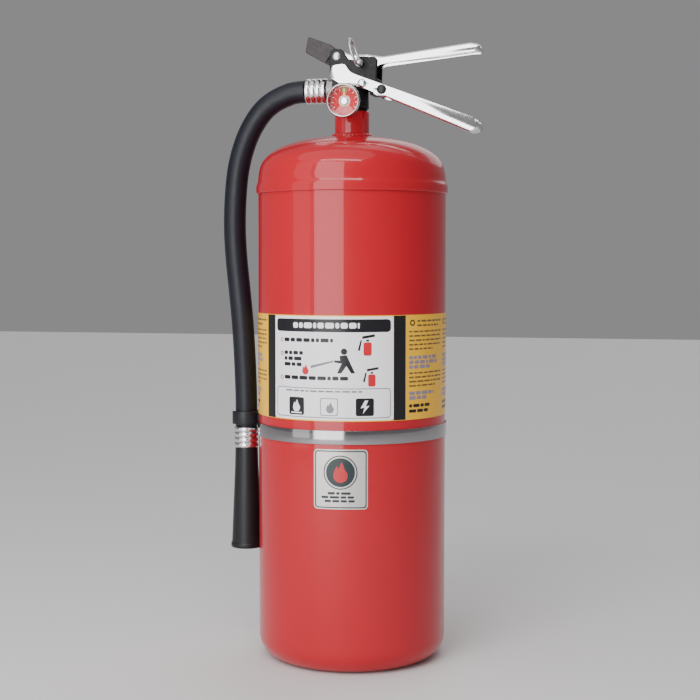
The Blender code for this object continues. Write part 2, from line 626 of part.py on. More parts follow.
def smooth_route(route, per_span):
    """Points read from a smooth curve through the route's own points."""
    ends = [(2 * route[0][0] - route[1][0], 2 * route[0][1] - route[1][1])]
    tail = [(2 * route[-1][0] - route[-2][0], 2 * route[-1][1] - route[-2][1])]
    knots = [Vector(p) for p in ends + route + tail]
    points = []
    for i in range(1, len(knots) - 2):
        a, b, c, d = knots[i - 1:i + 3]
        for step in range(per_span):
            t = step / per_span
            points.append(0.5 * (2 * b + (c - a) * t + (2 * a - 5 * b + 4 * c - d) * t ** 2
                                 + (3 * b - 3 * c + d - a) * t ** 3))
    return points + [knots[-2]]


def discharge_hose():
    curve = bpy.data.curves.new("discharge_hose", "CURVE")
    curve.dimensions = "3D"
    curve.bevel_depth = HOSE_R
    curve.bevel_resolution = 3
    curve.use_fill_caps = True
    points = smooth_route(HOSE_ROUTE, HOSE_STEPS_PER_SPAN)
    spline = curve.splines.new("POLY")
    spline.points.add(len(points) - 1)
    for target, (x, z) in zip(spline.points, points):
        target.co = (x * MM, 0, z * MM, 1)
    curve.materials.append(rubber())
    return place(bpy.data.objects.new("discharge_hose", curve))


def ribbed(start, stop, radius, ribs):
    """Outer side of a crimped sleeve, from its far end back to its start."""
    length = stop - start
    side = []
    for rib in range(ribs):
        base = stop - length * (rib + 0.5) / ribs
        half = length / ribs / 2
        side += [(radius - 0.9 * MM, base + half * 0.95), (radius, base + half * 0.45),
                 (radius, base - half * 0.45), (radius - 0.9 * MM, base - half * 0.95)]
    return side


def hose_coupling():
    """Hexagon nipple between the valve's outlet and the hose."""
    bore, start, stop = 5.2 * MM, 17.3 * MM, 24 * MM
    ring = turned("hose_coupling", [(bore, stop), (11.2 * MM, stop), (11.2 * MM, start),
                                    (bore, start)], brass(), steps=6)
    return aimed(ring, (0, 0, OUTLET_Z), (-1, 0, 0))


def upper_ferrule():
    start, stop = -UPPER_FERRULE_X[0], -UPPER_FERRULE_X[1]
    profile = [(5.2 * MM, stop)] + ribbed(start, stop, FERRULE_R, 3) + [(5.2 * MM, start)]
    return aimed(turned("upper_ferrule", profile, chrome(), steps=20), (0, 0, OUTLET_Z), (-1, 0, 0))


def lower_ferrule():
    high, low = LOWER_FERRULE_Z
    profile = [(5.2 * MM, high)] + ribbed(low, high, FERRULE_R, 2) + [(5.2 * MM, low)]
    return aimed(turned("lower_ferrule", profile, chrome(), steps=20), (HANG_X, 0, 0), (0, 0, 1))


def nozzle():
    """Tapered horn; the bore narrows at the throat and widens to the mouth."""
    high, low = NOZZLE_Z
    narrow, wide = NOZZLE_R
    profile = [(5.2 * MM, high), (narrow - MM, high), (narrow, high - MM),
               (wide - 0.6 * MM, low + 5 * MM), (wide, low + 4 * MM), (wide, low + MM),
               (wide - MM, low), (12.6 * MM, low), (7.4 * MM, low + 62 * MM),
               (5.2 * MM, high - 20 * MM)]
    return aimed(turned("nozzle", profile, black_plastic(), steps=24), (HANG_X, 0, 0), (0, 0, 1))


def hose_clip():
    """Open ring that grips the hose, with a foot against the strap."""
    low, high = CLIP_Z
    inner = HOSE_R + 0.5 * MM
    opening = math.radians(62)
    steps = 20
    sweep = [math.radians(180) + opening / 2 + (2 * math.pi - opening) * i / steps
             for i in range(steps + 1)]
    ring = [(HANG_X + CLIP_R * math.cos(a), CLIP_R * math.sin(a)) for a in sweep]
    ring += [(HANG_X + inner * math.cos(a), inner * math.sin(a)) for a in reversed(sweep)]
    clip = outline_solid("hose_clip", ring, high - low, flat_at((low + high) / 2), black_plastic())
    foot = box("clip_foot_shape", (HANG_X + 12.6 * MM, -6 * MM, low),
               (-(SHELL_R + BAND_T + 1.0 * MM), 6 * MM, high))
    weld(clip, foot)
    return clip


# ---------------------------------------------------------------- strap and stickers

def around_shell(radius, azimuth):
    """A point at a radius, with its azimuth from -Y towards +X."""
    return (radius * math.sin(azimuth), -radius * math.cos(azimuth))


def sticker(name, z_range, middle, half_angle, steps, finish):
    """A curved sheet on the cylinder, cut to an angle."""
    inner, outer = SHELL_R + GAP, SHELL_R + GAP + STICKER_T
    sweep = [middle - half_angle + 2 * half_angle * i / steps for i in range(steps + 1)]
    outline = [around_shell(outer, a) for a in sweep]
    outline += [around_shell(inner, a) for a in reversed(sweep)]
    low, high = z_range
    return outline_solid(name, outline, high - low, flat_at((low + high) / 2), finish)


def shell_band():
    """Strap round the cylinder; its two ends stand out behind, side by side."""
    inner, outer = SHELL_R + GAP, SHELL_R + GAP + BAND_T
    ear_gap, ear_out = 3 * MM, 13 * MM
    end = math.pi - ear_gap / outer
    sweep = [-end + 2 * end * i / BIG_STEPS for i in range(BIG_STEPS + 1)]
    outline = [around_shell(inner, a) for a in sweep]
    outline += [(ear_gap, outer + ear_out), (ear_gap + BAND_T, outer + ear_out),
                (ear_gap + BAND_T, outer + 0.5 * MM)]
    outline += [around_shell(outer, a) for a in reversed(sweep[2:-2])]
    outline += [(-ear_gap - BAND_T, outer + 0.5 * MM), (-ear_gap - BAND_T, outer + ear_out),
                (-ear_gap, outer + ear_out)]
    low, high = BAND_Z
    band = outline_solid("shell_band", outline, high - low, flat_at((low + high) / 2), steel())
    bolt_y = outer + 7 * MM
    cut(band, rod("band_bolt_hole_cut", (-12 * MM, bolt_y, (low + high) / 2),
                  (12 * MM, bolt_y, (low + high) / 2), 2.3 * MM, steps=16))
    return bolt_y, (low + high) / 2


def band_fastener(bolt_y, z):
    """A short screw and its nut draw the strap's ends together."""
    reach = (3 + 1) * MM + GAP
    bolt = turned("band_bolt", [(0, 10 * MM), (2 * MM, 10 * MM), (2 * MM, -reach),
                                (4 * MM, -reach), (4 * MM, -reach - 2.8 * MM),
                                (0, -reach - 2.8 * MM)], steel(), closed=False, steps=18)
    aimed(bolt, (0, bolt_y, z), (1, 0, 0))
    nut = turned("band_nut", [(2.3 * MM, reach + 3 * MM), (4.2 * MM, reach + 3 * MM),
                              (4.2 * MM, reach), (2.3 * MM, reach)], steel(), steps=6)
    aimed(nut, (0, bolt_y, z), (1, 0, 0))


def build():
    shell_cup()
    top_dome()
    neck_collar()
    powder_charge()
    dip_tube()
    valve_body()
    neck_o_ring()
    valve_stem()
    stem_seal()
    stem_o_ring()
    gland_ring()
    stem_spring()
    gauge()
    carry_handle()
    operating_lever()
    lever_tongue()
    cross_rivet("lever_pivot_rivet", PIVOT, 2.5 * MM, 4.2 * MM, YOKE_HALF_W + GAP, steel())
    cross_rivet("handle_rivet", HANDLE_RIVET, 2.2 * MM, 4.4 * MM, HANDLE_HALF_W + GAP, chrome())
    cross_rivet("handle_cross_pin", HANDLE_CROSS_PIN, 2.2 * MM, 4.7 * MM, HANDLE_HALF_W + GAP,
                black_plastic())
    pull_pin()
    pull_ring()
    hose_coupling()
    upper_ferrule()
    discharge_hose()
    lower_ferrule()
    nozzle()
    hose_clip()
    band_fastener(*shell_band())
    sticker("instruction_label", LABEL_Z, 0.0, LABEL_HALF_ANGLE, 32,
            material("printed_label", (0.85, 0.80, 0.70), 0.35))
    sticker("round_emblem_badge", BADGE_Z, BADGE_AZIMUTH, BADGE_HALF_ANGLE, 6,
            material("silver_foil", (0.70, 0.68, 0.66), 0.3, 0.6))


build()
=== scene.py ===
"""Looks for the fire extinguisher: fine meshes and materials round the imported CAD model."""
from math import ceil, cos, degrees, floor, pi, radians, sin, tan
import random

import bmesh
import bpy
from mathutils import Matrix, Vector


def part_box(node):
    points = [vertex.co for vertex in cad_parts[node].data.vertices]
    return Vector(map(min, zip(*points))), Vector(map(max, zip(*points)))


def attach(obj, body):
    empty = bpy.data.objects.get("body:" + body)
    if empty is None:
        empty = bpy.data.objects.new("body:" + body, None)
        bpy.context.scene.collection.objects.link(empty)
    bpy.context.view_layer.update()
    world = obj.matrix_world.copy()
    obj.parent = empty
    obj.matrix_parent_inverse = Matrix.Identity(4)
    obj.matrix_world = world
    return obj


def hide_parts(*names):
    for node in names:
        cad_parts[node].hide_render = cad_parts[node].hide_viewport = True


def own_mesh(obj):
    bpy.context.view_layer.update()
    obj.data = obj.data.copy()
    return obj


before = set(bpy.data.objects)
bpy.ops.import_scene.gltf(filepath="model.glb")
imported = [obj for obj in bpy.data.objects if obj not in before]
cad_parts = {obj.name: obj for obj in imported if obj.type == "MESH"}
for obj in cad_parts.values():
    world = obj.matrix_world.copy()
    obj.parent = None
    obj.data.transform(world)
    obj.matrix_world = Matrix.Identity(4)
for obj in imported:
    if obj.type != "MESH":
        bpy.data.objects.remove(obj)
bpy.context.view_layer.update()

MM = 0.001
ROOT = "extinguisher"
FRONT = Vector((0, -1, 0))


def mm(values):
    """Millimetres to metres, for a list of numbers or of points."""
    return [tuple(c * MM for c in v) if isinstance(v, tuple) else v * MM for v in values]


def from_level(level, points):
    """Profile points in millimetres, their heights counted from a level in metres."""
    return [(r * MM, level + z * MM) for r, z in points]


def centre_of(node):
    low, high = (Vector(corner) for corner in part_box(node))
    return (low + high) / 2


def low_of(node):
    return Vector(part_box(node)[0])


def high_of(node):
    return Vector(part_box(node)[1])


# Sizes and places read from the CAD model.
SHELL_R = (high_of("shell_cup").x - low_of("shell_cup").x) / 2
CUP_RIM_Z = high_of("shell_cup").z
LIP_R = (high_of("top_dome").x - low_of("top_dome").x) / 2
LIP_Z = low_of("top_dome").z
NECK_Z = (low_of("neck_collar").z, high_of("neck_collar").z)
OUTLET_Z = centre_of("upper_ferrule").z
HANG_X = centre_of("nozzle").x
GAUGE = centre_of("gauge_case")
GAUGE_R = (high_of("gauge_case").x - low_of("gauge_case").x) / 2
GAUGE_FRONT, GAUGE_BACK = -low_of("gauge_case").y, -high_of("gauge_case").y
PIVOT = centre_of("lever_pivot_rivet")
RIVET = centre_of("handle_rivet")
CROSS_PIN = centre_of("handle_cross_pin")
PIN = Vector((centre_of("pull_pin").x, 0, centre_of("pull_pin").z))
LABEL_Z = (low_of("instruction_label").z, high_of("instruction_label").z)
BADGE_Z = (low_of("round_emblem_badge").z, high_of("round_emblem_badge").z)
BAND_Z = (low_of("shell_band").z, high_of("shell_band").z)

# Sizes that the CAD model's boxes don't give, repeated from its source.
GAP = 0.3 * MM                          # clearance between neighbouring solids
WALL = 1.8 * MM
BASE_KNUCKLE_R = 22 * MM
RING_INNER_R = 62 * MM
BASE_PRESS_H = 16 * MM
DOME_TOP_Z = 511 * MM
NECK_R = 16.85 * MM
NECK_BORE_R = 12.5 * MM
SHEET = 1.6 * MM
LEVER_HALF_W = 10.9 * MM
HANDLE_HALF_W = 16.0 * MM
YOKE_HALF_W = 14.0 * MM
YOKE_SLOT_HALF_W = 11.4 * MM
VALVE_R = 16.3 * MM
HOSE_R = 11 * MM
FERRULE_R = 12.3 * MM
CLIP_R = 14.6 * MM
PIN_R = 2.1 * MM
PIVOT_HOLE_R = 2.8 * MM
RIVET_HOLE_R = 2.5 * MM
RING_R = 13.0 * MM
RING_WIRE_R = 1.25 * MM
RING_LEAN = radians(18)
RING_RISE = radians(48)
PIN_EYE_Y = -23 * MM
DIAL_INK_T = 0.06 * MM
BADGE_AZIMUTH = radians(6.7)
BADGE_HALF_ANGLE = radians(15.9)
LABEL_HALF_ANGLE = radians(118)
HOSE_ROUTE = [(-46.8, 556), (-55.2, 555.5), (-63.6, 553.7), (-78.5, 547.3), (-91.3, 537.2),
              (-103, 520.5), (-111.5, 500.5), (-117, 478), (-119.8, 450), (-120.5, 420),
              (-118.8, 390), (-115.6, 358), (-112.6, 325), (-110.6, 290), (-109.4, 256),
              (-109.2, 224.3)]

# Camera, as it stood to the object: almost level, a little to the lever's side.
CAMERA_AZIMUTH = radians(13.4)
CAMERA_DISTANCE = 1.42
CAMERA_Z = 0.389
VIEW_CENTRE = Vector((-0.002, 0, 0.302))
FRAME_WIDTH = 0.690                     # metres across the picture, at the object's axis
SENSOR = 36.0


# ---------------------------------------------------------------- materials

class Nodes:
    """Short hand for building one material's node tree."""

    def __init__(self, name, base, roughness, metallic=0.0):
        self.material = bpy.data.materials.new(name)
        self.material.use_nodes = True
        self.tree = self.material.node_tree
        self.shader = self.tree.nodes["Principled BSDF"]
        self.set("Base Color", (*base, 1.0))
        self.set("Roughness", roughness)
        self.set("Metallic", metallic)
        self.base = base
        self.coordinates = self.tree.nodes.new("ShaderNodeTexCoord").outputs["Object"]
        self.height = None

    def set(self, socket, value):
        self.shader.inputs[socket].default_value = value

    def link(self, source, target):
        self.tree.links.new(source, target)

    def node(self, kind, **inputs):
        made = self.tree.nodes.new(kind)
        for key, value in inputs.items():
            made.inputs[key].default_value = value
        return made

    def stretched(self, scale):
        """Coordinates scaled by a different amount along each axis."""
        mapping = self.node("ShaderNodeMapping", Scale=scale)
        self.link(self.coordinates, mapping.inputs["Vector"])
        return mapping.outputs["Vector"]

    def noise(self, scale, detail=3.0, rough=0.55, vector=None):
        made = self.node("ShaderNodeTexNoise", Scale=scale, Detail=detail, Roughness=rough)
        self.link(vector or self.coordinates, made.inputs["Vector"])
        return made.outputs["Fac"]

    def ramp(self, value, stops):
        """Stops are (position, grey or colour)."""
        made = self.node("ShaderNodeValToRGB")
        elements = made.color_ramp.elements
        while len(elements) < len(stops):
            elements.new(0.5)
        for element, (position, shade) in zip(elements, stops):
            element.position = position
            grey = (shade,) * 3 if isinstance(shade, (int, float)) else shade
            element.color = (*grey, 1.0)
        self.link(value, made.inputs["Fac"])
        return made.outputs["Color"]

    def tint(self, factor, low, high):
        """Base colour goes from low to high times the plain colour with a factor."""
        shades = [(at, tuple(times * c for c in self.base)) for at, times in ((0, low), (1, high))]
        self.link(self.ramp(factor, shades), self.shader.inputs["Base Color"])

    def roughen(self, factor, low, high):
        self.link(self.ramp(factor, [(0.0, low), (1.0, high)]), self.shader.inputs["Roughness"])

    def bump(self, factor, depth, strength=1.0):
        """Stacks a height map of a real depth in metres."""
        made = self.node("ShaderNodeBump", Strength=strength, Distance=depth)
        self.link(factor, made.inputs["Height"])
        if self.height:
            self.link(self.height, made.inputs["Normal"])
        self.height = made.outputs["Normal"]
        self.link(self.height, self.shader.inputs["Normal"])


def red_paint():
    """Gloss powder coat: faint orange peel, small specks of dust and slow changes of tone."""
    m = Nodes("red_paint", (0.47, 0.008, 0.018), 0.30)
    m.set("Specular IOR Level", 0.12)
    m.set("Coat Weight", 0.60)
    m.set("Coat Roughness", 0.05)
    m.tint(m.noise(9, 4), 0.90, 1.08)
    m.roughen(m.noise(60, 5, 0.7), 0.26, 0.40)
    m.bump(m.noise(900, 2), 0.00002, 0.5)
    m.bump(m.noise(45, 2), 0.00015, 0.25)
    return m.material


def chrome():
    """Bright plating with rolling marks, faint smears and a slight waviness."""
    m = Nodes("chrome_plate", (0.83, 0.82, 0.83), 0.10, 1.0)
    m.tint(m.noise(40, 4), 0.93, 1.03)
    m.roughen(m.noise(120, 6, 0.7), 0.05, 0.17)
    m.bump(m.noise(14, 2, vector=m.stretched((1, 12, 12))), 0.0006, 0.12)
    m.bump(m.noise(1500, 2, vector=m.stretched((0.04, 1, 1))), 0.00001, 0.35)
    return m.material


def brushed(name, colour, roughness, along=(0.02, 1, 1)):
    """Plain steel with brushing that runs along one axis."""
    m = Nodes(name, colour, roughness, 1.0)
    grain = m.noise(1400, 3, vector=m.stretched(along))
    m.tint(m.noise(70, 4), 0.88, 1.06)
    m.roughen(grain, roughness * 0.7, roughness * 1.4)
    m.bump(grain, 0.00001, 0.4)
    return m.material


def cast_metal(name, colour, metallic, roughness, shine):
    """Dark coated casting: a fine sandy surface with rubbed high spots."""
    m = Nodes(name, colour, roughness, metallic)
    m.set("Specular IOR Level", shine)
    m.tint(m.noise(160, 5, 0.65), 0.6, 1.7)
    m.roughen(m.noise(300, 4), roughness * 0.75, roughness * 1.3)
    m.bump(m.noise(700, 4, 0.7), 0.00006, 0.5)
    return m.material


def hose_rubber():
    """Smooth extruded cover with a faint cloth print and long extrusion lines."""
    m = Nodes("hose_rubber", (0.006, 0.007, 0.012), 0.44)
    m.set("Specular IOR Level", 0.32)
    m.tint(m.noise(35, 5, 0.7), 0.7, 1.6)
    m.roughen(m.noise(110, 4), 0.34, 0.52)
    m.bump(m.noise(900, 3, vector=m.stretched((1, 1, 0.06))), 0.00005, 0.6)
    wave = m.node("ShaderNodeTexWave", Scale=260.0, Distortion=0.4)
    wave.bands_direction = "Z"
    m.link(m.coordinates, wave.inputs["Vector"])
    m.bump(wave.outputs["Fac"], 0.00002, 0.35)
    return m.material


def moulded(name, colour, roughness, shine=0.5):
    """Moulded plastic: fine grain with a few scuffs."""
    m = Nodes(name, colour, roughness)
    m.set("Specular IOR Level", shine)
    m.tint(m.noise(50, 5, 0.7), 0.75, 1.5)
    m.roughen(m.noise(200, 5), roughness * 0.8, roughness * 1.25)
    m.bump(m.noise(1100, 3), 0.00003, 0.5)
    return m.material


def printed(name, colour, roughness=0.32, variation=0.05, gloss=1.0):
    """Printed sheet: an ink colour with a faint mottle under a clear film."""
    m = Nodes(name, colour, roughness)
    m.set("Coat Weight", 0.12 * gloss)
    m.set("Coat Roughness", 0.10)
    m.set("Specular IOR Level", 0.3 * gloss)
    m.tint(m.noise(260, 4, 0.6), 1 - variation, 1 + variation)
    m.roughen(m.noise(90, 3), roughness * 0.85, roughness * 1.15)
    m.bump(m.noise(160, 2), 0.00003, 0.3)
    return m.material


def glass():
    """Clear moulded lens, thin enough to leave the dial plain to see."""
    m = Nodes("clear_lens", (0.97, 0.98, 0.98), 0.03)
    m.set("Transmission Weight", 1.0)
    m.set("IOR", 1.3)
    m.set("Alpha", 0.07)
    m.roughen(m.noise(200, 3), 0.01, 0.05)
    return m.material


PAINT = red_paint()
CHROME = chrome()
STEEL = brushed("zinc_steel", (0.60, 0.60, 0.61), 0.28)
BAND_STEEL = brushed("stainless_strip", (0.36, 0.35, 0.36), 0.10, (1, 1, 0.03))
GAUGE_METAL = brushed("gauge_rim", (0.52, 0.50, 0.50), 0.2, (1, 0.05, 1))
BRASS = brushed("turned_brass", (0.66, 0.47, 0.20), 0.3, (1, 1, 0.05))
DARK_CAST = cast_metal("dark_cast_metal", (0.006, 0.006, 0.007), 0.0, 0.5, 0.3)
DARK_STEEL = cast_metal("dark_steel", (0.034, 0.028, 0.030), 0.2, 0.5, 0.4)
HOSE_RUBBER = hose_rubber()
SEAL_RUBBER = moulded("seal_rubber", (0.012, 0.012, 0.012), 0.6)
BLACK_PLASTIC = moulded("black_plastic", (0.007, 0.008, 0.010), 0.38, 0.35)
NYLON = moulded("dip_tube_nylon", (0.72, 0.72, 0.68), 0.45)
POWDER = moulded("pale_powder", (0.75, 0.70, 0.50), 0.9)
LENS = glass()


# ---------------------------------------------------------------- shapes

def linked(obj):
    """Puts an object into the scene, unless it is there already."""
    if obj.name not in bpy.context.scene.collection.objects:
        bpy.context.scene.collection.objects.link(obj)
    return obj


def finished(obj, material, replaces=(), sharp=35, body=ROOT):
    """Gives a piece its material, body and shading."""
    linked(obj)
    obj.data.materials.clear()
    obj.data.materials.append(material)
    if obj.type == "MESH":
        obj.data.shade_smooth()
        obj.data.set_sharp_from_angle(angle=radians(sharp))
    bpy.context.view_layer.update()
    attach(obj, body)
    if replaces:
        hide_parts(*replaces)
    return obj


def mesh_object(name, cage):
    """An object from a cage, which is freed."""
    bmesh.ops.recalc_face_normals(cage, faces=cage.faces)
    mesh = bpy.data.meshes.new(name)
    cage.to_mesh(mesh)
    cage.free()
    return bpy.data.objects.new(name, mesh)


def lathe(name, profile, steps=96, closed=True, centre=(0, 0, 0), axis=(0, 0, 1), wobble=None):
    """Turns (radius, height) points about an axis; wobble(angle, i) adds to a point's radius."""
    cage = bmesh.new()
    turn = Vector((0, 0, 1)).rotation_difference(Vector(axis)).to_matrix()
    rings = []
    for i, (r, z) in enumerate(profile):
        if r < 1e-7:
            rings.append([cage.verts.new(Vector(centre) + turn @ Vector((0, 0, z)))] * steps)
            continue
        ring = []
        for k in range(steps):
            angle = 2 * pi * k / steps
            radius = r + (wobble(angle, i) if wobble else 0.0)
            point = Vector((radius * cos(angle), radius * sin(angle), z))
            ring.append(cage.verts.new(Vector(centre) + turn @ point))
        rings.append(ring)
    pairs = list(zip(rings, rings[1:])) + ([(rings[-1], rings[0])] if closed else [])
    for upper, lower in pairs:
        for k in range(steps):
            corners = [upper[k], upper[(k + 1) % steps], lower[(k + 1) % steps], lower[k]]
            unique = list(dict.fromkeys(corners))
            if len(unique) > 2:
                cage.faces.new(unique)
    return mesh_object(name, cage)


def around(radius, azimuth):
    """A point at a radius, with its azimuth from -Y towards +X."""
    return Vector((radius * sin(azimuth), -radius * cos(azimuth)))


def arc(centre, radius, start, stop, count):
    """Points of an arc, angles in degrees from +X (outwards) towards +Z (up)."""
    angles = [radians(start + (stop - start) * i / (count - 1)) for i in range(count)]
    return [(centre[0] + radius * cos(a), centre[1] + radius * sin(a)) for a in angles]


def smooth(points, per_span, closed=False):
    """Points read from a smooth curve through the given ones."""
    knots = [Vector(p) for p in points]
    if closed:
        knots = [knots[-1]] + knots + knots[:2]
    else:
        knots = [2 * knots[0] - knots[1]] + knots + [2 * knots[-1] - knots[-2]]
    out = []
    for i in range(1, len(knots) - 2):
        a, b, c, d = knots[i - 1:i + 3]
        for step in range(per_span):
            t = step / per_span
            out.append(0.5 * (2 * b + (c - a) * t + (2 * a - 5 * b + 4 * c - d) * t ** 2
                              + (3 * b - 3 * c + d - a) * t ** 3))
    return out if closed else out + [knots[-2]]


def rounded(corners, radius, count=6):
    """A closed outline with every corner rounded, each by its own or a shared radius."""
    radii = radius if isinstance(radius, (list, tuple)) else [radius] * len(corners)
    outline = []
    for i, corner in enumerate(corners):
        here = Vector(corner)
        before = Vector(corners[i - 1]) - here
        after = Vector(corners[(i + 1) % len(corners)]) - here
        bend = before.angle(after)
        if radii[i] <= 0 or bend > radians(176):
            outline.append(here)
            continue
        cut_back = min(radii[i] / tan(bend / 2), 0.48 * before.length, 0.48 * after.length)
        start, stop = here + before.normalized() * cut_back, here + after.normalized() * cut_back
        for step in range(count + 1):
            t = step / count
            outline.append((1 - t) ** 2 * start + 2 * t * (1 - t) * here + t ** 2 * stop)
    return outline


def soft_profile(corners, radius, count=4):
    """A turned profile with its corners eased; corners on the axis stay."""
    radii = [0 if corner[0] < 1e-7 else radius for corner in corners]
    return [(p[0], p[1]) for p in rounded(corners, radii, count)]


def filled(name, outlines, low, high, edge=0.0):
    """Outlines in the XY plane, one inside another making a hole, thickened from low to high."""
    curve = bpy.data.curves.new(name, "CURVE")
    curve.dimensions = "2D"
    curve.fill_mode = "BOTH"
    curve.extrude = (high - low) / 2 - edge
    curve.bevel_depth = edge
    curve.bevel_resolution = 3
    curve.offset = -edge
    for outline in outlines:
        spline = curve.splines.new("POLY")
        spline.points.add(len(outline) - 1)
        for point, corner in zip(spline.points, outline):
            point.co = (corner[0], corner[1], 0, 1)
        spline.use_cyclic_u = True
    obj = bpy.data.objects.new(name, curve)
    mesh = evaluated_mesh(obj)
    bpy.data.objects.remove(obj)
    cage = bmesh.new()
    cage.from_mesh(mesh)
    bpy.data.meshes.remove(mesh)
    bmesh.ops.remove_doubles(cage, verts=cage.verts, dist=1e-6)
    bmesh.ops.translate(cage, verts=cage.verts, vec=(0, 0, (low + high) / 2))
    return cage


def plate(name, outline, low, high, edge=0.0, where=Matrix()):
    """One outline as a thick plate with rounded rims, put in its place."""
    cage = filled(name, [outline], low, high, edge)
    bmesh.ops.transform(cage, verts=cage.verts, matrix=where)
    return mesh_object(name, cage)


SIDE_ON = Matrix.Rotation(radians(90), 4, "X")     # an outline of X and Z, thick along -Y


def evaluated_mesh(obj):
    """A new mesh of the object as it shows, with its modifiers or curve settings."""
    linked(obj)
    bpy.context.view_layer.update()
    graph = bpy.context.evaluated_depsgraph_get()
    return bpy.data.meshes.new_from_object(obj.evaluated_get(graph))


def apply_modifiers(obj):
    """Bakes an object's modifiers into its mesh."""
    mesh = evaluated_mesh(obj)
    obj.modifiers.clear()
    old = obj.data
    obj.data = mesh
    bpy.data.meshes.remove(old)
    return obj


def combine(target, tools, operation):
    """Booleans the tools into the target one after another and removes them."""
    linked(target)
    for tool in tools:
        linked(tool)
        step = target.modifiers.new(operation.lower(), "BOOLEAN")
        step.operation = operation
        step.solver = "MANIFOLD"
        step.object = tool
    apply_modifiers(target)
    for tool in tools:
        bpy.data.objects.remove(tool)
    return target


def eased(obj, width, segments=2, angle=38):
    """Rounds an object's sharp edges a little."""
    step = obj.modifiers.new("eased", "BEVEL")
    step.width = width
    step.segments = segments
    step.limit_method = "ANGLE"
    step.angle_limit = radians(angle)
    step.use_clamp_overlap = True
    return apply_modifiers(obj)


def bar(name, start, stop, radius, steps=48, ease=0.0):
    """A round bar between two points, its ends eased."""
    start, stop = Vector(start), Vector(stop)
    length = (stop - start).length
    profile = soft_profile([(0, length), (radius, length), (radius, 0), (0, 0)], ease)
    return lathe(name, profile, steps, False, start, stop - start)


def tube_curve(name, points, radius, sides):
    """Round wire along points."""
    curve = bpy.data.curves.new(name, "CURVE")
    curve.dimensions = "3D"
    curve.bevel_depth = radius
    curve.bevel_resolution = sides
    curve.use_fill_caps = True
    spline = curve.splines.new("POLY")
    spline.points.add(len(points) - 1)
    for target, point in zip(spline.points, points):
        target.co = (*point, 1)
    return bpy.data.objects.new(name, curve)


# ---------------------------------------------------------------- cylinder

def shell():
    """Drawn cup with its pressed-in base."""
    knuckle = (SHELL_R - BASE_KNUCKLE_R, BASE_KNUCKLE_R)
    pressed = smooth([(RING_INNER_R, 0), (RING_INNER_R - 8 * MM, 5 * MM),
                      (RING_INNER_R - 20 * MM, 11 * MM), (22 * MM, BASE_PRESS_H - MM),
                      (0, BASE_PRESS_H)], 8)
    outside = [(SHELL_R, CUP_RIM_Z)] + arc(knuckle, BASE_KNUCKLE_R, 0, -90, 20)
    outside += [tuple(p) for p in pressed[:-1]] + [(0, BASE_PRESS_H)]
    inside = [(0, BASE_PRESS_H + WALL), (RING_INNER_R - 6 * MM, 5 * MM + WALL),
              (RING_INNER_R + MM, WALL)]
    inside += arc(knuckle, BASE_KNUCKLE_R - WALL, -90, 0, 6) + [(SHELL_R - WALL, CUP_RIM_Z)]
    finished(lathe("shell", inside + outside, 192, False), PAINT, ["shell_cup"])


def dome():
    """Crown, shoulder and the lip that laps over the cup, drawn in one smooth line."""
    hole = NECK_R + GAP
    crown = smooth([(hole, 510.7 * MM)]
                   + mm([(28, 509.9), (42, 507.9), (56, 504.9), (68, 500.9), (77.5, 495.9),
                         (84.5, 490.3), (89.2, 483.3), (91.4, 475), (92.1, 468.5)]), 5)
    lip = smooth(mm([(92.5, 466), (93.5, 463.4)])
                 + [(LIP_R, 461 * MM), (LIP_R, LIP_Z + 0.8 * MM), (LIP_R - 0.6 * MM, LIP_Z)], 4)
    inside = [(SHELL_R + GAP, LIP_Z), (SHELL_R + GAP, CUP_RIM_Z + GAP)]
    inside += mm([(90, 466), (87, 482), (75.5, 494), (50, 504)]) + [(hole, 508.9 * MM)]
    profile = [tuple(p) for p in crown + lip] + inside
    finished(lathe("dome", profile, 192), PAINT, ["top_dome"])


def neck():
    """Threaded ring and the weld bead round its foot."""
    low, high = NECK_Z
    profile = soft_profile([(NECK_BORE_R, high), (NECK_R, high), (NECK_R, low),
                            (NECK_BORE_R, low)], 0.9 * MM)
    finished(lathe("neck_ring", profile, 96), PAINT, ["neck_collar"])
    bead_r, bead_z = NECK_R + 0.7 * MM, DOME_TOP_Z + 0.4 * MM
    section = arc((bead_r, bead_z), 2.2 * MM, 0, 330, 12)

    def ripple(angle, i):
        return 0.22 * MM * sin(34 * angle) * (1 if i < 6 else 0)
    finished(lathe("neck_weld", section, 204, wobble=ripple), PAINT)


# ---------------------------------------------------------------- valve

def cross_hole(at, radius):
    """A cutter for a round hole straight across the machine."""
    reach = Vector((0, 25 * MM, 0))
    return bar("hole", at - reach, at + reach, radius, 32)


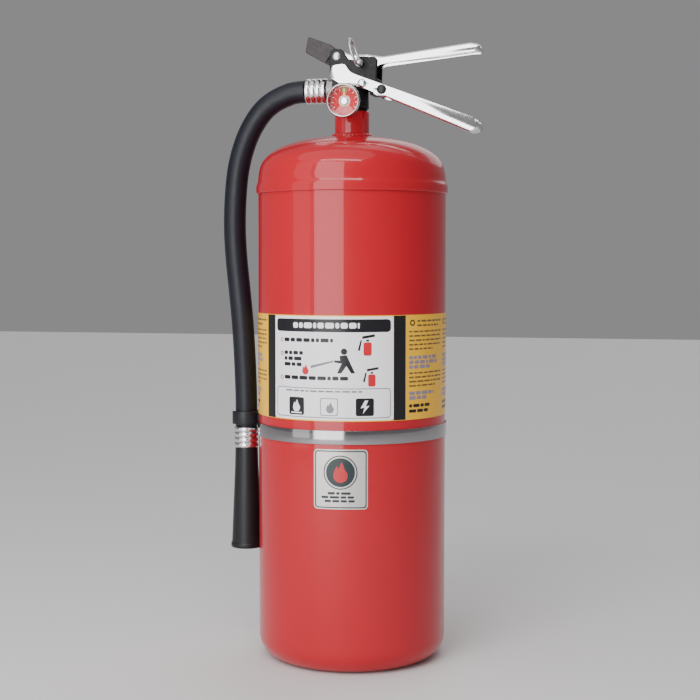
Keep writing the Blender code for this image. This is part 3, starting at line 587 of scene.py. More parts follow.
def valve():
    """Casting in one piece, its corners softened the way a mould leaves them."""
    low, high = 537.6 * MM, 557.5 * MM
    flat_r = VALVE_R + 0.2 * MM
    corner_r = flat_r / cos(radians(30))
    body = lathe("valve_casting", [(0, high), (VALVE_R, high), (VALVE_R, low), (0, low)], 64, False)
    hexagon = plate("hex", [around(corner_r, radians(60 * k)) for k in range(6)],
                    low, low + 9 * MM)
    trim = lathe("trim", [(0, high), (flat_r, high), (flat_r, low), (0, low)], 64, False)
    combine(hexagon, [trim], "INTERSECT")
    thread = bar("thread", (0, 0, low + MM), (0, 0, 500 * MM), 12.1 * MM)
    yoke_line = rounded(mm([(-16.6, 556.8), (27.2, 556.8), (27.8, 586), (13, 586.6), (6, 583.5),
                            (-1, 584.5), (-6.5, 594.5), (-19, 594.5), (-19, 571), (-16.6, 568.6)]),
                        mm([1, 2, 4, 3, 5, 3, 5, 6, 1, 1]))
    yoke = plate("yoke", yoke_line, -YOKE_HALF_W, YOKE_HALF_W, where=SIDE_ON)
    lug_line = rounded(mm([(20, 549.8), (38, 549.8), (38.5, 559), (20, 562)]), 1.5 * MM)
    lug = plate("lug", lug_line, -11 * MM, 11 * MM, where=SIDE_ON)
    outlet = bar("outlet", (0, 0, OUTLET_Z), (-17 * MM, 0, OUTLET_Z), 10 * MM)
    boss = bar("boss", (0, 0, GAUGE.z), (0, -20 * MM, GAUGE.z), 4.9 * MM)
    combine(body, [hexagon, thread, yoke, lug, outlet, boss], "UNION")
    slot_line = mm([(-30, 600), (-30, 570), (7, 570), (9, 566.2), (40, 566.2), (40, 600)])
    slot = plate("slot", slot_line, -YOKE_SLOT_HALF_W, YOKE_SLOT_HALF_W, where=SIDE_ON)
    holes = [cross_hole(at, r) for at, r in ((PIVOT, PIVOT_HOLE_R), (PIN, PIN_R + GAP),
                                             (RIVET, RIVET_HOLE_R), (CROSS_PIN, RIVET_HOLE_R))]
    stem_bore = bar("stem_bore", (0, 0, 563 * MM), (0, 0, 590 * MM), 5.3 * MM)
    outlet_bore = bar("outlet_bore", (-5 * MM, 0, OUTLET_Z), (-20 * MM, 0, OUTLET_Z), 5.4 * MM)
    dip_bore = bar("dip_bore", (0, 0, 495 * MM), (0, 0, 546 * MM), 8.3 * MM)
    combine(body, [slot, stem_bore, outlet_bore, dip_bore] + holes, "DIFFERENCE")
    remesh = body.modifiers.new("cast", "REMESH")
    remesh.mode = "VOXEL"
    remesh.voxel_size = 0.55 * MM
    smoothing = body.modifiers.new("tumbled", "SMOOTH")
    smoothing.iterations = 5
    smoothing.factor = 0.5
    apply_modifiers(body)
    finished(body, DARK_CAST, ["valve_body"], 60)


# ---------------------------------------------------------------- gauge

def gauge():
    """Rolled rim, printed face with a small green zone, pointer and domed lens."""
    at, aim, front, back = (0, 0, GAUGE.z), FRONT, GAUGE_FRONT, GAUGE_BACK
    inner_back = back + 2.6 * MM
    rim = smooth(from_level(front, [(14.2, -1.2), (14.5, -0.2), (15.4, 0)])
                 + [(GAUGE_R - 0.1 * MM, front - 1.0 * MM), (GAUGE_R, front - 3 * MM),
                    (GAUGE_R - 0.4 * MM, front - 4.6 * MM), (GAUGE_R - 1.5 * MM, front - 5.2 * MM)],
                 4)
    case = [(0, inner_back), (14.2 * MM, inner_back)] + [tuple(p) for p in rim]
    case += [(GAUGE_R - 1.6 * MM, back + 2.2 * MM), (GAUGE_R - 2.6 * MM, back + 0.6 * MM),
             (GAUGE_R - 4.4 * MM, back), (0, back)]
    finished(lathe("gauge_rim", case, 96, False, at, aim), GAUGE_METAL, ["gauge_case"])
    lens_line = [(13.9 * MM * sin(a), front - 1.6 * MM + 1.1 * MM * cos(a))
                 for a in (pi / 2 * k / 12 for k in range(13))]
    lens = lens_line + [(13.9 * MM, front - 2.6 * MM), (0, front - 2.4 * MM)]
    finished(lathe("gauge_glass", lens, 96, False, at, aim), LENS, ["gauge_lens"])
    dial_y = inner_back + 0.9 * MM
    gauge_face(at, aim, dial_y)
    hub = soft_profile(from_level(dial_y, [(0, 2.1), (3.0, 1.8), (4.3, 1.1), (0, 1.1)]), 0.5 * MM)
    blade_line = rounded(mm([(-1.7, -5.6), (1.7, -5.6), (0.75, 12), (-0.75, 12)]), 0.4 * MM)
    blade = plate("blade", blade_line, -0.25 * MM, 0.25 * MM,
                  where=Matrix.Translation((0, -(dial_y + 0.8 * MM), GAUGE.z)) @ SIDE_ON)
    finished(blade, printed("pointer_ink", (0.66, 0.58, 0.22)), ["gauge_needle"],
             body="needle")
    finished(lathe("pointer_hub", hub, 48, False, at, aim), CHROME, body="needle")


def sector(name, inner, outer, start, stop, depth, material):
    """A flat ring sector on the gauge's face; angles in degrees clockwise from the top."""
    steps = max(2, int(abs(stop - start) / 4))
    sweep = [radians(start + (stop - start) * k / steps) for k in range(steps + 1)]
    outline = [(outer * sin(a), outer * cos(a)) for a in sweep]
    outline += [(inner * sin(a), inner * cos(a)) for a in reversed(sweep)]
    where = Matrix.Translation((0, -depth, GAUGE.z)) @ SIDE_ON
    piece = plate(name, outline, 0, DIAL_INK_T, where=where)
    finished(piece, material)


def gauge_face(at, aim, dial_y):
    """Printed dial: red field, small green zone, pale middle and plain ticks."""
    red = printed("dial_red", (0.60, 0.035, 0.045), 0.5, 0.08, 0.2)
    pink = printed("dial_pink", (0.80, 0.20, 0.20), 0.5, 0.08, 0.2)
    green = printed("dial_green", (0.20, 0.36, 0.10), 0.5, 0.05, 0.2)
    white = printed("dial_white", (0.92, 0.89, 0.88), 0.5, 0.05, 0.2)
    back, dial_r = dial_y - 0.8 * MM, 13.9 * MM
    sheet = [(0, dial_y), (dial_r, dial_y), (dial_r, back), (0, back)]
    finished(lathe("dial", sheet, 96, False, at, aim), pink, ["gauge_dial"])
    sector("dial_left", 6.0 * MM, 12.9 * MM, -134, -13, dial_y, red)
    sector("dial_right", 6.0 * MM, 12.9 * MM, 13, 134, dial_y, red)
    sector("dial_go", 6.0 * MM, 12.9 * MM, -12, 12, dial_y, green)
    for k, angle in enumerate(range(-120, 121, 24)):
        sector(f"dial_tick_{k}", 10.6 * MM, 12.6 * MM, angle - 1.4, angle + 1.4,
               dial_y + DIAL_INK_T, white)
    sector("dial_middle", 0.9 * MM, 5.2 * MM, 0, 360, dial_y, white)


# ---------------------------------------------------------------- lever, handle and pins

def channel(name, body_line, trim_line, hollow_line, half_width, bend, holes=()):
    """Bent sheet: a round-edged block, trimmed to the cheeks' outline and hollowed out."""
    block = plate(name, body_line, -half_width, half_width, bend, SIDE_ON)
    trim = plate("trim", trim_line, -30 * MM, 30 * MM, where=SIDE_ON)
    combine(block, [trim], "INTERSECT")
    inner = half_width - SHEET
    hollow = plate("hollow", hollow_line, -inner, inner, max(bend - SHEET, 0.2 * MM), SIDE_ON)
    combine(block, [hollow, *holes], "DIFFERENCE")
    return eased(block, 0.35 * MM)


def lever():
    """Operating lever: web on top, cheeks below, tall at the pivot."""
    top = [(-20, 592.3), (-7, 592.3), (2, 589.3), (17, 589.2), (32, 586.6), (118, 597),
           (127.5, 594.8)]
    body_line = rounded(mm(top + [(127.5, 560), (-20, 560)]), mm([1, 5, 6, 14, 14, 8, 4, 1, 1]))
    trim_line = rounded(mm([(-17, 582.2), (-17, 610), (132, 610), (132, 588.6), (118, 588.4),
                            (32, 579.4), (20, 574.6), (9, 574.6), (3, 582.2)]),
                        mm([4, 0, 0, 0, 8, 6, 3, 2, 3]))
    hollow_line = rounded(mm([(-24, 550), (-24, 590.7), (-7.3, 590.7), (1.7, 587.6), (16.7, 587.6),
                              (31.9, 585), (118, 595.4), (125.9, 593.5), (125.9, 550)]),
                          mm([0, 0, 4, 6, 14, 14, 7, 3, 0]))
    reach, slot_top = PIN_R + 0.5 * MM, 587.1 * MM
    x, z = PIN.x, PIN.z
    slot_line = rounded([(x - reach - 1.2 * MM, z - reach), (x + reach, z - reach),
                         (x + reach + 1.4 * MM, slot_top), (x - reach - MM, slot_top)], 1.5 * MM)
    slot = plate("slot", slot_line, -20 * MM, 20 * MM, where=SIDE_ON)
    made = channel("squeeze_lever", body_line, trim_line, hollow_line, LEVER_HALF_W, 2.6 * MM,
                   [slot, cross_hole(PIVOT, PIVOT_HOLE_R)])
    finished(made, CHROME, ["operating_lever"], body="lever")


def handle():
    """Carry handle: web below, cheeks above, spreading to straddle the valve."""
    body_line = rounded(mm([(36, 547), (120, 511.2), (127, 514.2), (127, 620), (-30, 620),
                            (-30, 547)]), mm([3, 6, 6, 1, 1, 1]))
    trim_line = rounded(mm([(122, 525.8), (1.6, 571.4), (-3.5, 580), (-16.5, 578.5), (-18, 567.5),
                            (-9, 561.5), (8, 558.2), (24, 552.5), (28, 548.5), (36, 547.2),
                            (38, 528), (118, 497), (131, 503), (131, 516)]),
                        mm([3, 14, 5, 5, 5, 6, 6, 3, 3, 0, 0, 0, 0, 3]))
    slope = (511.2 - 547) / (120 - 36)
    web = 547 * MM + SHEET * 1.1
    hollow_line = rounded(mm([(-40, 640), (-40, 530), (40, 530)])
                          + [(40 * MM, web + 4 * MM * slope), (120 * MM, web + 84 * MM * slope),
                             (125.2 * MM, web + 86 * MM * slope + 3 * MM),
                             (125.2 * MM, 640 * MM)], mm([0, 0, 0, 0, 4, 3, 0]))
    holes = [cross_hole(at, RIVET_HOLE_R) for at in (RIVET, CROSS_PIN)]
    made = channel("grip_handle", body_line, trim_line, hollow_line, HANDLE_HALF_W, 2.8 * MM, holes)
    finished(made, CHROME, ["carry_handle"])


def tongue():
    """Dark folded plate on the lever's nose."""
    line = rounded(mm([(-41.5, 608), (-18.3, 599.2), (-14.5, 594.9), (-24.3, 581.5),
                       (-44.3, 592.5)]), mm([2.5, 2, 1, 2, 3]))
    made = plate("nose_plate", line, -LEVER_HALF_W, LEVER_HALF_W, 0.8 * MM, SIDE_ON)
    hollow = plate("hollow", mm([(-60, 612), (-43, 606.8), (-19, 597.8), (-10, 594), (-10, 570),
                                 (-60, 570)]),
                   -LEVER_HALF_W + SHEET, LEVER_HALF_W - SHEET, where=SIDE_ON)
    combine(made, [hollow], "DIFFERENCE")
    finished(eased(made, 0.3 * MM), DARK_STEEL, ["lever_tongue"], body="lever")


def rivet(name, at, radius, head_radius, half_width, material, node):
    """Shank with a domed head at each end and a small flat in the dome's middle."""
    reach, head = half_width + GAP, 1.6 * MM
    dome_line = [(head_radius * sin(a), reach + head * cos(a)) for a in
                 (pi / 2 * (k + 2) / 10 for k in range(9))]
    half = [(0, reach + head * 0.96)] + dome_line + [(head_radius, reach), (radius, reach)]
    profile = half + [(r, -z) for r, z in reversed(half)]
    finished(lathe(name, profile, 48, False, at, (0, 1, 0)), material, [node])


def ring_directions():
    """The eye's axis, the way from the eye to the ring's centre, and the ring's own axis."""
    up = Vector((-sin(RING_LEAN), 0, cos(RING_LEAN)))
    to_centre = FRONT * cos(RING_RISE) + up * sin(RING_RISE)
    along_eye = up * cos(RING_RISE) - FRONT * sin(RING_RISE)
    return along_eye, to_centre, along_eye.cross(to_centre)


def pin_and_ring():
    """Pull pin with a flattened, rounded head, and a plain welded wire ring."""
    eye = PIN + Vector((0, PIN_EYE_Y, 0))
    profile = smooth(mm([(0, 26.2), (2.2, 25.8), (3.6, 24), (3.6, 21.6), (2.6, 19.4)])
                     + [(PIN_R, 18.2 * MM)], 5)
    line = [tuple(p) for p in profile] + [(PIN_R, -17 * MM), (PIN_R - 0.9 * MM, -18 * MM),
                                          (0, -18 * MM)]
    pin = lathe("pin", line, 48, False, PIN, FRONT)
    along, to_centre, normal = ring_directions()
    hole = bar("eye", eye - along * 8 * MM, eye + along * 8 * MM, RING_WIRE_R + 0.4 * MM, 32)
    combine(pin, [hole], "DIFFERENCE")
    finished(pin, STEEL, ["pull_pin"], body="safety_pin")
    centre = eye + to_centre * RING_R
    section = [(RING_R + RING_WIRE_R * cos(a), RING_WIRE_R * sin(a))
               for a in (2 * pi * k / 16 for k in range(16))]
    finished(lathe("pin_ring", section, 96, True, centre, normal), STEEL, ["pull_ring"],
             body="safety_ring")


# ---------------------------------------------------------------- printed label and foil badge

PRINT_R = 92.05 * MM                    # underside of the printed sheets
SHEET_T = 0.30 * MM
INK_T = 0.04 * MM


def wrapped(name, outlines, level, material, replaces=(), thickness=INK_T):
    """Flat artwork in millimetres, as a film wrapped round the cylinder; level counts films."""
    low = PRINT_R + (SHEET_T + (level - 1) * INK_T if level else 0)
    cage = filled(name, [[(x * MM, z * MM) for x, z in outline] for outline in outlines],
                  low, low + thickness)
    step = radians(3) * PRINT_R
    first = floor(min(v.co.x for v in cage.verts) / step)
    last = ceil(max(v.co.x for v in cage.verts) / step)
    for k in range(first, last + 1):
        geometry = cage.verts[:] + cage.edges[:] + cage.faces[:]
        bmesh.ops.bisect_plane(cage, geom=geometry, dist=1e-7, plane_co=(k * step, 0, 0),
                               plane_no=(1, 0, 0))
    for vert in cage.verts:
        flat = around(vert.co.z, vert.co.x / PRINT_R)
        vert.co = (flat.x, flat.y, vert.co.y)
    return finished(mesh_object(name, cage), material, replaces)


def block(x0, z0, x1, z1, radius=0.0, count=5):
    """A rectangle of artwork between two corners, with rounded corners where a radius is given."""
    corners = [(x0, z0), (x1, z0), (x1, z1), (x0, z1)]
    return [tuple(p) for p in rounded(corners, radius, count)] if radius else corners


def disc(x, z, radius, count=28):
    """A round dot of artwork."""
    return [(x + radius * cos(2 * pi * k / count),
             z + radius * sin(2 * pi * k / count)) for k in range(count)]


def flame(x, z, size):
    """A plain drop-shaped flame with one side tongue."""
    points = [(0, -1), (0.55, -0.78), (0.72, -0.2), (0.42, 0.3), (0.12, 1.0), (-0.18, 0.35),
              (-0.34, 0.62), (-0.62, 0.1), (-0.7, -0.4), (-0.45, -0.85)]
    return [(x + size * p[0], z + size * p[1]) for p in smooth(points, 4, closed=True)]


def bottle(x, z, size):
    """A little extinguisher: body, neck and handle."""
    body = block(x - 0.42 * size, z - size, x + 0.42 * size, z + 0.35 * size, 0.22 * size)
    neck_part = block(x - 0.14 * size, z + 0.42 * size, x + 0.14 * size, z + 0.62 * size)
    grip = ((-0.55, 0.68), (0.75, 0.90), (0.75, 1.16), (-0.55, 0.96))
    hose = ((-0.56, 0.6), (-0.74, 0.54), (-1.0, -0.46), (-0.78, -0.52))
    return [body], [neck_part] + [[(x + size * p[0], z + size * p[1]) for p in line]
                                  for line in (grip, hose)]


def text_rows(x0, x1, top, rows, pitch, height, seed, fill=1.0):
    """Rows of short dashes that stand for lines of print."""
    dice = random.Random(seed)
    marks = []
    for row in range(rows):
        x = x0
        stop = x0 + (x1 - x0) * min(1, fill if row < rows - 1 else fill * dice.uniform(0.6, 0.9))
        z = top - row * pitch
        while x < stop - 1.5:
            wide = min(dice.uniform(3.2, 9.0), stop - x)
            marks.append(block(x, z - height, x + wide, z, 0.3 * height, 2))
            x += wide + 1.3
    return marks


def label():
    """Wrap-round instruction label, its print reduced to plain bars and simple pictures."""
    low, high = LABEL_Z[0] / MM, LABEL_Z[1] / MM
    arc_mm = radians(1) * PRINT_R / MM             # width of one degree
    end = degrees(LABEL_HALF_ANGLE) * arc_mm
    yellow = printed("label_yellow", (0.92, 0.50, 0.02))
    black = printed("label_black", (0.010, 0.009, 0.012))
    white = printed("label_white", (0.93, 0.91, 0.95))
    red = printed("label_red", (0.56, 0.02, 0.03))
    grey = printed("label_grey", (0.20, 0.18, 0.21))
    brown = printed("label_brown", (0.17, 0.10, 0.035))
    violet = printed("label_violet", (0.28, 0.22, 0.28))

    def ink(name, outlines, level, colour):
        wrapped(f"label_{name}", outlines, level, colour)

    wrapped("label_sheet", [block(-end, low, end, high, 1.5)], 0, yellow,
            ["instruction_label"], SHEET_T)
    half, stripe = 38.3 * arc_mm, 46.3 * arc_mm
    ink("stripes", [block(-stripe, low + 0.4, -half, high - 0.4),
                    block(half, low + 0.4, stripe, high - 0.4)], 1, black)
    ink("panel", [block(-half + 0.2, low + 1, half - 0.2, high - 1, 3)], 1, white)
    header = block(-half + 3, high - 15.5, half - 3, high - 3.5, 4)
    line_outer = block(-half + 3, low + 3, half - 3, low + 31, 4)
    line_inner = block(-half + 3.8, low + 3.8, half - 3.8, low + 30.2, 3.4)
    bottom = low + 5.2
    dark_marks = text_rows(-48, 4, high - 21.4, 1, 4, 3.6, 3, 1.6)
    dark_marks += text_rows(-48, -26, high - 33.6, 3, 5.4, 3.4, 4, 1.1)
    dark_marks += text_rows(-48, 18, high - 56.6, 1, 4, 3.6, 5, 1.4)
    reds, darks = [], []
    for x, z, size in ((36, high - 28, 9.2), (40, high - 57.5, 8.4)):
        body, rest = bottle(x, z, size)
        reds += body
        darks += rest
    reds.append(flame(-23.5, high - 50.6, 4.8))
    figure = ((10, 37.4), (16.6, 36.6), (20.5, 45), (24.5, 53.6), (20.8, 53.6), (16.4, 46.8),
              (11.6, 53.6), (7.6, 53.6), (11.8, 44.6), (5.2, 43.6), (5, 41.4), (10.6, 41.8))
    man = [disc(14.2, high - 33.4, 3.0, 20), [(x, high - drop) for x, drop in figure]]
    spray = [[(x, high - drop) for x, drop in ((4.4, 41.6), (4.4, 43.2), (-18, 49.4), (-18, 46.8))]]
    ink("print_grey", [line_outer, line_inner] + spray
        + text_rows(-46, 46, low + 28.6, 1, 3, 1.5, 6), 2, grey)
    ink("print_black", [header] + dark_marks + darks + man
        + [block(-42, bottom, -25, bottom + 16.5, 2), block(25, bottom, 42, bottom + 16.5, 2)],
        2, black)
    frame_marks = [block(-8.5, bottom, 8.5, bottom + 16.5, 2),
                   block(-7.7, bottom + 0.8, 7.7, bottom + 15.7, 1.6)]
    ink("print_red", reds + [disc(-51.5, high - z, radius, count) for radius, count in
                             ((2.0, 20), (1.1, 16)) for z in (23.3, 36.3, 58.8)], 2, red)
    ink("frame", frame_marks + [flame(1, bottom + 7.6, 5.2)], 2, grey)
    bolt = [(x, bottom + z) for x, z in ((33.5, 14.5), (29.5, 7.4), (33.2, 7.9), (31.6, 2.2),
                                         (37.8, 9.6), (34.2, 9.1), (36.6, 14.5))]
    ink("print_white", text_rows(-37, 37, high - 6.8, 1, 4, 5.2, 9, 1.2)
        + [flame(-33.5, bottom + 8.6, 5.6), block(-39.5, bottom + 1.4, -27.5, bottom + 2.6), bolt],
        3, white)
    dark_prints, brown_prints, violet_prints = [], [], []
    paragraphs = ((brown_prints, 10, 5, 2, 4.2, 1.9, 1.0), (brown_prints, 0, 15, 5, 4.1, 1.6, 1.0),
                  (violet_prints, 0, 38.5, 3, 4.4, 3.4, 0.82), (brown_prints, 0, 54, 4, 4, 1.6, 1.0),
                  (violet_prints, 0, 72, 2, 4.4, 3.4, 0.7), (dark_prints, 0, 84, 2, 5.0, 3.0, 0.6))
    for side, first_seed in ((1, 21), (-1, 41)):
        for column in range(2):
            start = stripe + 4 + column * 57
            stop = start + 51
            x0, x1 = (start, stop) if side > 0 else (-stop, -start)
            dark_prints += [disc(x0 + 4, high - 7.5, 3, 20), disc(x0 + 4, high - 7.5, 1.7, 16)]
            for k, (marks, inset, drop, rows, pitch, height, fill) in enumerate(paragraphs):
                marks.extend(text_rows(x0 + inset, x1, high - drop, rows, pitch, height,
                                       first_seed + column + 100 * k, fill))
    ink("side_black", dark_prints, 1, black)
    ink("side_brown", brown_prints, 1, brown)
    ink("side_violet", violet_prints, 1, violet)


def badge():
    """Foil badge with a dark edge line and a plain flame in a dark round field."""
    low, high = BADGE_Z[0] / MM, BADGE_Z[1] / MM
    half = degrees(BADGE_HALF_ANGLE) * radians(1) * PRINT_R / MM
    mid = degrees(BADGE_AZIMUTH) * radians(1) * PRINT_R / MM
    foil = printed("badge_foil", (0.62, 0.60, 0.57), 0.3, 0.08)
    foil.node_tree.nodes["Principled BSDF"].inputs["Metallic"].default_value = 0.35
    dark = printed("badge_dark", (0.022, 0.035, 0.038))
    red = printed("badge_red", (0.52, 0.02, 0.03))
    wrapped("badge_sheet", [block(mid - half, low, mid + half, high, 4)], 0, foil,
            ["round_emblem_badge"], SHEET_T)
    edge = [block(mid - half + 1.1, low + 1.1, mid + half - 1.1, high - 1.1, 3.2),
            block(mid - half + 2.2, low + 2.2, mid + half - 2.2, high - 2.2, 2.6)]
    centre_z = high - 21.5
    rows = []
    for reach, z, height, seed in ((12, 16.2, 2.4, 71), (18, 12.4, 2.2, 72), (15, 8.8, 2.2, 73)):
        rows += text_rows(mid - reach, mid + reach + 2, low + z, 1, 3.3, height, seed, 1.3)
    wrapped("badge_dark_print", edge + [disc(mid, centre_z, r, 56) for r in (16, 14.9, 13.6)]
            + rows, 1, dark)
    wrapped("badge_flame", [flame(mid, centre_z, 9.5)], 2, red)


# ---------------------------------------------------------------- hose

def crimped(name, start, stop, ribs, at, aim, node):
    """Sleeve squeezed down between its ribs, eight flats round each squeeze."""
    length = stop - start
    line = [(5.2 * MM, stop - 0.4 * MM), (5.8 * MM, stop)]
    for rib in range(ribs):
        middle = stop - length * (rib + 0.5) / ribs
        half = length / ribs / 2
        for along, depth in ((0.98, 1.1), (0.80, 0.75), (0.62, 0.12), (0.4, 0.0), (0, 0),
                             (-0.4, 0.0), (-0.62, 0.12), (-0.80, 0.75), (-0.98, 1.1)):
            line.append((FERRULE_R - depth * MM, middle + half * along))
    line += [(5.8 * MM, start), (5.2 * MM, start + 0.4 * MM)]

    def flats(angle, i):
        squeeze = FERRULE_R - line[i][0]
        return -0.25 * squeeze * (1 - cos(8 * angle)) if line[i][0] > 8 * MM else 0.0
    return finished(lathe(name, line, 96, True, at, aim, flats), CHROME, [node], 50)


def hose_and_nozzle():
    """Hose with its two crimped sleeves and the horn."""
    route = [Vector((x * MM, 0, z * MM)) for x, z in HOSE_ROUTE]
    line = smooth(route, 8)
    hose = tube_curve("hose", line, HOSE_R, 10)
    finished(hose, HOSE_RUBBER, ["discharge_hose"])
    upper = crimped("ferrule_upper", 24.3 * MM, 46 * MM, 4, (0, 0, OUTLET_Z), (-1, 0, 0),
                    "upper_ferrule")
    low, high = low_of("lower_ferrule").z, high_of("lower_ferrule").z
    lower = crimped("ferrule_lower", low, high, 4, (HANG_X, 0, 0), (0, 0, 1), "lower_ferrule")
    horn = nozzle_horn()


def nozzle_horn():
    """Straight moulded horn, a little flared, with a rolled bead round its mouth."""
    low, high = low_of("nozzle").z, high_of("nozzle").z
    outside = smooth(
        from_level(high, [(6, 0), (10.4, 0), (11.3, -1.2), (11.9, -20), (13.4, -55)])
        + from_level(low, [(15.1, 7), (15.5, 5), (16, 4), (16, 1.2), (15.2, 0), (13.2, 0)]), 5)
    inside = from_level(low, [(12.6, 0.6), (7.4, 62)]) + from_level(high, [(5.2, -20), (5.2, -0.4)])
    profile = [tuple(p) for p in outside] + inside
    return finished(lathe("horn", profile, 96, True, (HANG_X, 0, 0)), BLACK_PLASTIC,
                    ["nozzle"], 40)


def clip():
    """Springy open ring round the hose, on a foot that bolts to the strap."""
    low, high = low_of("hose_clip").z, high_of("hose_clip").z
    inner, opening, steps = HOSE_R + 0.5 * MM, radians(62), 64
    sweep = [radians(180) + opening / 2 + (2 * pi - opening) * k / steps
             for k in range(steps + 1)]
    ring = [(HANG_X + CLIP_R * cos(a), CLIP_R * sin(a)) for a in sweep]
    ring += [(HANG_X + inner * cos(a), inner * sin(a)) for a in reversed(sweep)]
    made = plate("clip_ring", ring, low, high, 0.7 * MM)
    foot_line = rounded([(HANG_X + 12.2 * MM, -6 * MM), (-(SHELL_R + 1.5 * MM), -8 * MM),
                         (-(SHELL_R + 1.5 * MM), 8 * MM), (HANG_X + 12.2 * MM, 6 * MM)], 0.8 * MM)
    foot = plate("foot", foot_line, low + 0.3 * MM, high - 0.3 * MM, 0.5 * MM)
    combine(made, [foot], "UNION")
    finished(made, BLACK_PLASTIC, ["hose_clip"], 40)


# ---------------------------------------------------------------- strap

def strap():
    """Stainless strip with eased edges; its ends stand out behind, drawn together by a screw."""
    inner, outer = SHELL_R + 0.3 * MM, SHELL_R + 1.3 * MM
    ear_gap, ear_out, steps = 3 * MM, 13 * MM, 180
    end = pi - ear_gap / outer
    sweep = [-end + 2 * end * k / steps for k in range(steps + 1)]
    outline = [around(inner, a) for a in sweep]
    outline += [(ear_gap, outer + ear_out), (ear_gap + MM, outer + ear_out),
                (ear_gap + MM, outer + 0.5 * MM)]
    outline += [around(outer, a) for a in reversed(sweep[3:-3])]
    outline += [(-ear_gap - MM, outer + 0.5 * MM), (-ear_gap - MM, outer + ear_out),
                (-ear_gap, outer + ear_out)]
    made = plate("strap", outline, BAND_Z[0], BAND_Z[1], 0.3 * MM)
    finished(made, BAND_STEEL, ["shell_band"], 40)


def hexagonal(name, across_corners, start, stop, bore, at, aim):
    """A hexagonal fitting with turned-off corners and a bore, along a direction."""
    high = 1.0 * MM
    outline = [around(across_corners, radians(60 * k)) for k in range(6)]
    made = plate(name, outline, start, stop)
    turned_off = soft_profile([(0, stop), (across_corners * 0.89, stop),
                               (across_corners * 1.01, stop - high),
                               (across_corners * 1.01, start + high),
                               (across_corners * 0.89, start), (0, start)], 0.2 * MM)
    combine(made, [lathe("corners", turned_off, 64, False)], "INTERSECT")
    combine(made, [bar("bore", (0, 0, start - MM), (0, 0, stop + MM), bore, 40)], "DIFFERENCE")
    turn = Vector((0, 0, 1)).rotation_difference(Vector(aim)).to_matrix().to_4x4()
    made.data.transform(Matrix.Translation(at) @ turn)
    return eased(made, 0.15 * MM, 2, 30)


def fittings():
    """Hose nipple, and the strap's screw with its nut."""
    high, low = -high_of("hose_coupling").x, -low_of("hose_coupling").x
    nipple = hexagonal("hose_nipple", 11.2 * MM, high, low, 5.2 * MM, (0, 0, OUTLET_Z), (-1, 0, 0))
    finished(nipple, GAUGE_METAL, ["hose_coupling"])
    at = Vector((0, centre_of("band_bolt").y, centre_of("band_bolt").z))
    head, tip = low_of("band_bolt").x, high_of("band_bolt").x
    neck_x = head + 2.8 * MM
    line = from_level(tip, [(0, 0), (1.7, 0), (2, -0.4)]) + [(2 * MM, neck_x), (4 * MM, neck_x)]
    line += from_level(head, [(4, 1.3), (3.5, 0.5), (2.4, 0), (0, 0)])
    screw = lathe("strap_screw", line, 48, False, at, (1, 0, 0))
    slot_low, slot_high, reach = head - MM, head + 1.1 * MM, 5 * MM
    slot = plate("slot", [(slot_low, -reach), (slot_high, -reach), (slot_high, reach),
                          (slot_low, reach)],
                 -0.5 * MM, 0.5 * MM, where=Matrix.Translation(at))
    combine(screw, [slot], "DIFFERENCE")
    finished(screw, STEEL, ["band_bolt"])
    nut_low, nut_high = low_of("band_nut").x, high_of("band_nut").x
    nut = hexagonal("strap_nut", 4.2 * MM, nut_low, nut_high, 2.3 * MM, at, (1, 0, 0))
    finished(nut, STEEL, ["band_nut"])


def spring():
    """Round wire coil with closed end turns."""
    low, high = low_of("stem_spring").z, high_of("stem_spring").z
    wire, coil, turns, per_turn = 0.65 * MM, 5.7 * MM, 7, 28
    points = []
    for k in range(turns * per_turn + 1):
        part = k / (turns * per_turn)
        eased_part = min(1.0, max(0.0, (part - 0.12) / 0.76))
        height = low + wire + (high - low - 2 * wire) * (0.1 * part + 0.9 * eased_part)
        angle = 2 * pi * k / per_turn
        points.append((coil * cos(angle), coil * sin(angle), height))
    coiled = tube_curve("coil", points, wire, 3)
    made = bpy.data.objects.new("seat_spring", evaluated_mesh(coiled))
    bpy.data.objects.remove(coiled)
    finished(made, STEEL, ["stem_spring"])
    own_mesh(made)


def carried_over():
    """CAD nodes whose shape is right as it is get their own materials."""
    for node, material in (("powder_charge", POWDER), ("dip_tube", NYLON),
                           ("neck_o_ring", SEAL_RUBBER), ("stem_o_ring", SEAL_RUBBER),
                           ("stem_seal", SEAL_RUBBER), ("gland_ring", BRASS),
                           ("valve_stem", BRASS), ("gauge_stem", BRASS)):
        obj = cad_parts[node]
        for index in range(len(obj.material_slots)):
            obj.material_slots[index].material = material


# ---------------------------------------------------------------- studio

def studio():
    """Pale floor and even grey surroundings."""
    cage = bmesh.new()
    bmesh.ops.create_grid(cage, x_segments=2, y_segments=2, size=6)
    ground = linked(mesh_object("studio_floor", cage))
    pale = Nodes("studio_floor", (0.70, 0.69, 0.69), 0.7)
    pale.tint(pale.noise(2.5, 3), 0.98, 1.02)
    ground.data.materials.append(pale.material)
    world = bpy.context.scene.world or bpy.data.worlds.new("studio")
    bpy.context.scene.world = world
    world.use_nodes = True
    sky = world.node_tree.nodes["Background"].inputs
    sky["Color"].default_value = (0.74, 0.72, 0.74, 1)
    sky["Strength"].default_value = 0.36


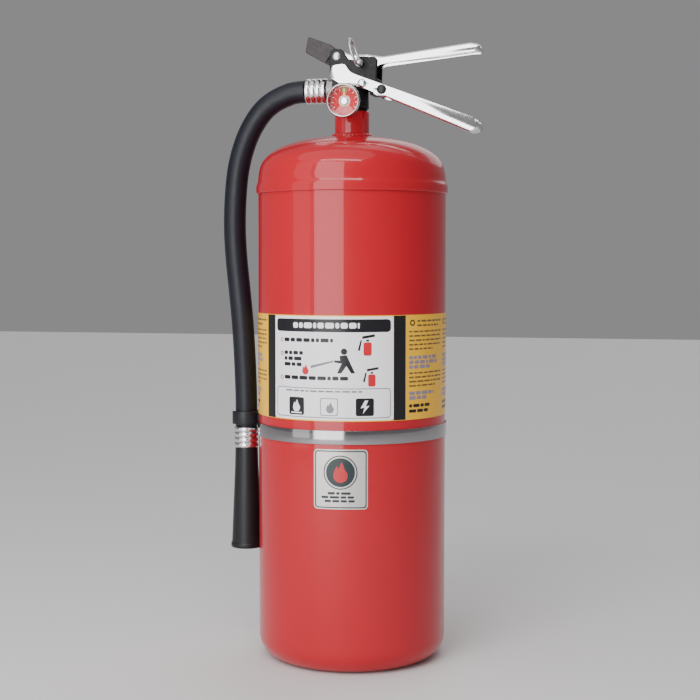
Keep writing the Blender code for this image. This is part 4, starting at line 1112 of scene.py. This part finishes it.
def softbox(name, azimuth, distance, height, size, power):
    """An area light at an azimuth in degrees from -Y towards +X, aimed at the object."""
    light = bpy.data.lights.new(name, "AREA")
    light.shape = "RECTANGLE"
    light.size, light.size_y = size
    light.energy = power
    obj = bpy.data.objects.new(name, light)
    flat = around(distance, radians(azimuth))
    obj.location = (flat.x, flat.y, height)
    aim = Vector((0, 0, height if height < 1 else 0.32))        # tall boxes face it level
    obj.rotation_euler = (aim - obj.location).to_track_quat("-Z", "Y").to_euler()
    obj.visible_camera = False
    linked(obj)


def overhead(name, energy, spread, turn):
    """A wide soft light from far above, leaning by the given angles in degrees."""
    light = bpy.data.lights.new(name, "SUN")
    light.energy = energy
    light.angle = radians(spread)
    obj = bpy.data.objects.new(name, light)
    obj.rotation_euler = [radians(angle) for angle in turn]
    linked(obj)


def lights():
    """A tall box for the bright strip on the cylinder, a weak one beside it, and soft fill."""
    softbox("key", -13.6, 1.15, 0.66, (0.72, 1.27), 14.5)
    softbox("side", -48, 1.35, 0.66, (0.55, 1.27), 2.4)
    softbox("top", -2, 1.5, 2.0, (1.7, 0.30), 14)
    overhead("front_fill", 1.0, 70, (22, -12, 0))
    overhead("back_fill", 0.85, 60, (-48, 14, 0))


def camera():
    """The camera, aimed at the object's middle."""
    made = bpy.data.cameras.new("camera")
    made.sensor_width = SENSOR
    made.lens = SENSOR * CAMERA_DISTANCE / FRAME_WIDTH
    obj = bpy.data.objects.new("camera", made)
    flat = around(CAMERA_DISTANCE, CAMERA_AZIMUTH)
    obj.location = (flat.x, flat.y, CAMERA_Z)
    obj.rotation_euler = (VIEW_CENTRE - obj.location).to_track_quat("-Z", "Y").to_euler()
    bpy.context.scene.camera = linked(obj)


for build in (camera, hose_and_nozzle, shell, dome, neck, valve, gauge, lever, handle, tongue):
    build()
rivet("pivot", PIVOT, 2.5 * MM, 4.2 * MM, YOKE_HALF_W, STEEL, "lever_pivot_rivet")
rivet("rivet", RIVET, 2.2 * MM, 4.4 * MM, HANDLE_HALF_W, CHROME, "handle_rivet")
rivet("cross_pin", CROSS_PIN, 2.2 * MM, 4.7 * MM, HANDLE_HALF_W, BLACK_PLASTIC,
      "handle_cross_pin")
for build in (pin_and_ring, clip, strap, label, badge, fittings, spring, carried_over, studio,
              lights):
    build()
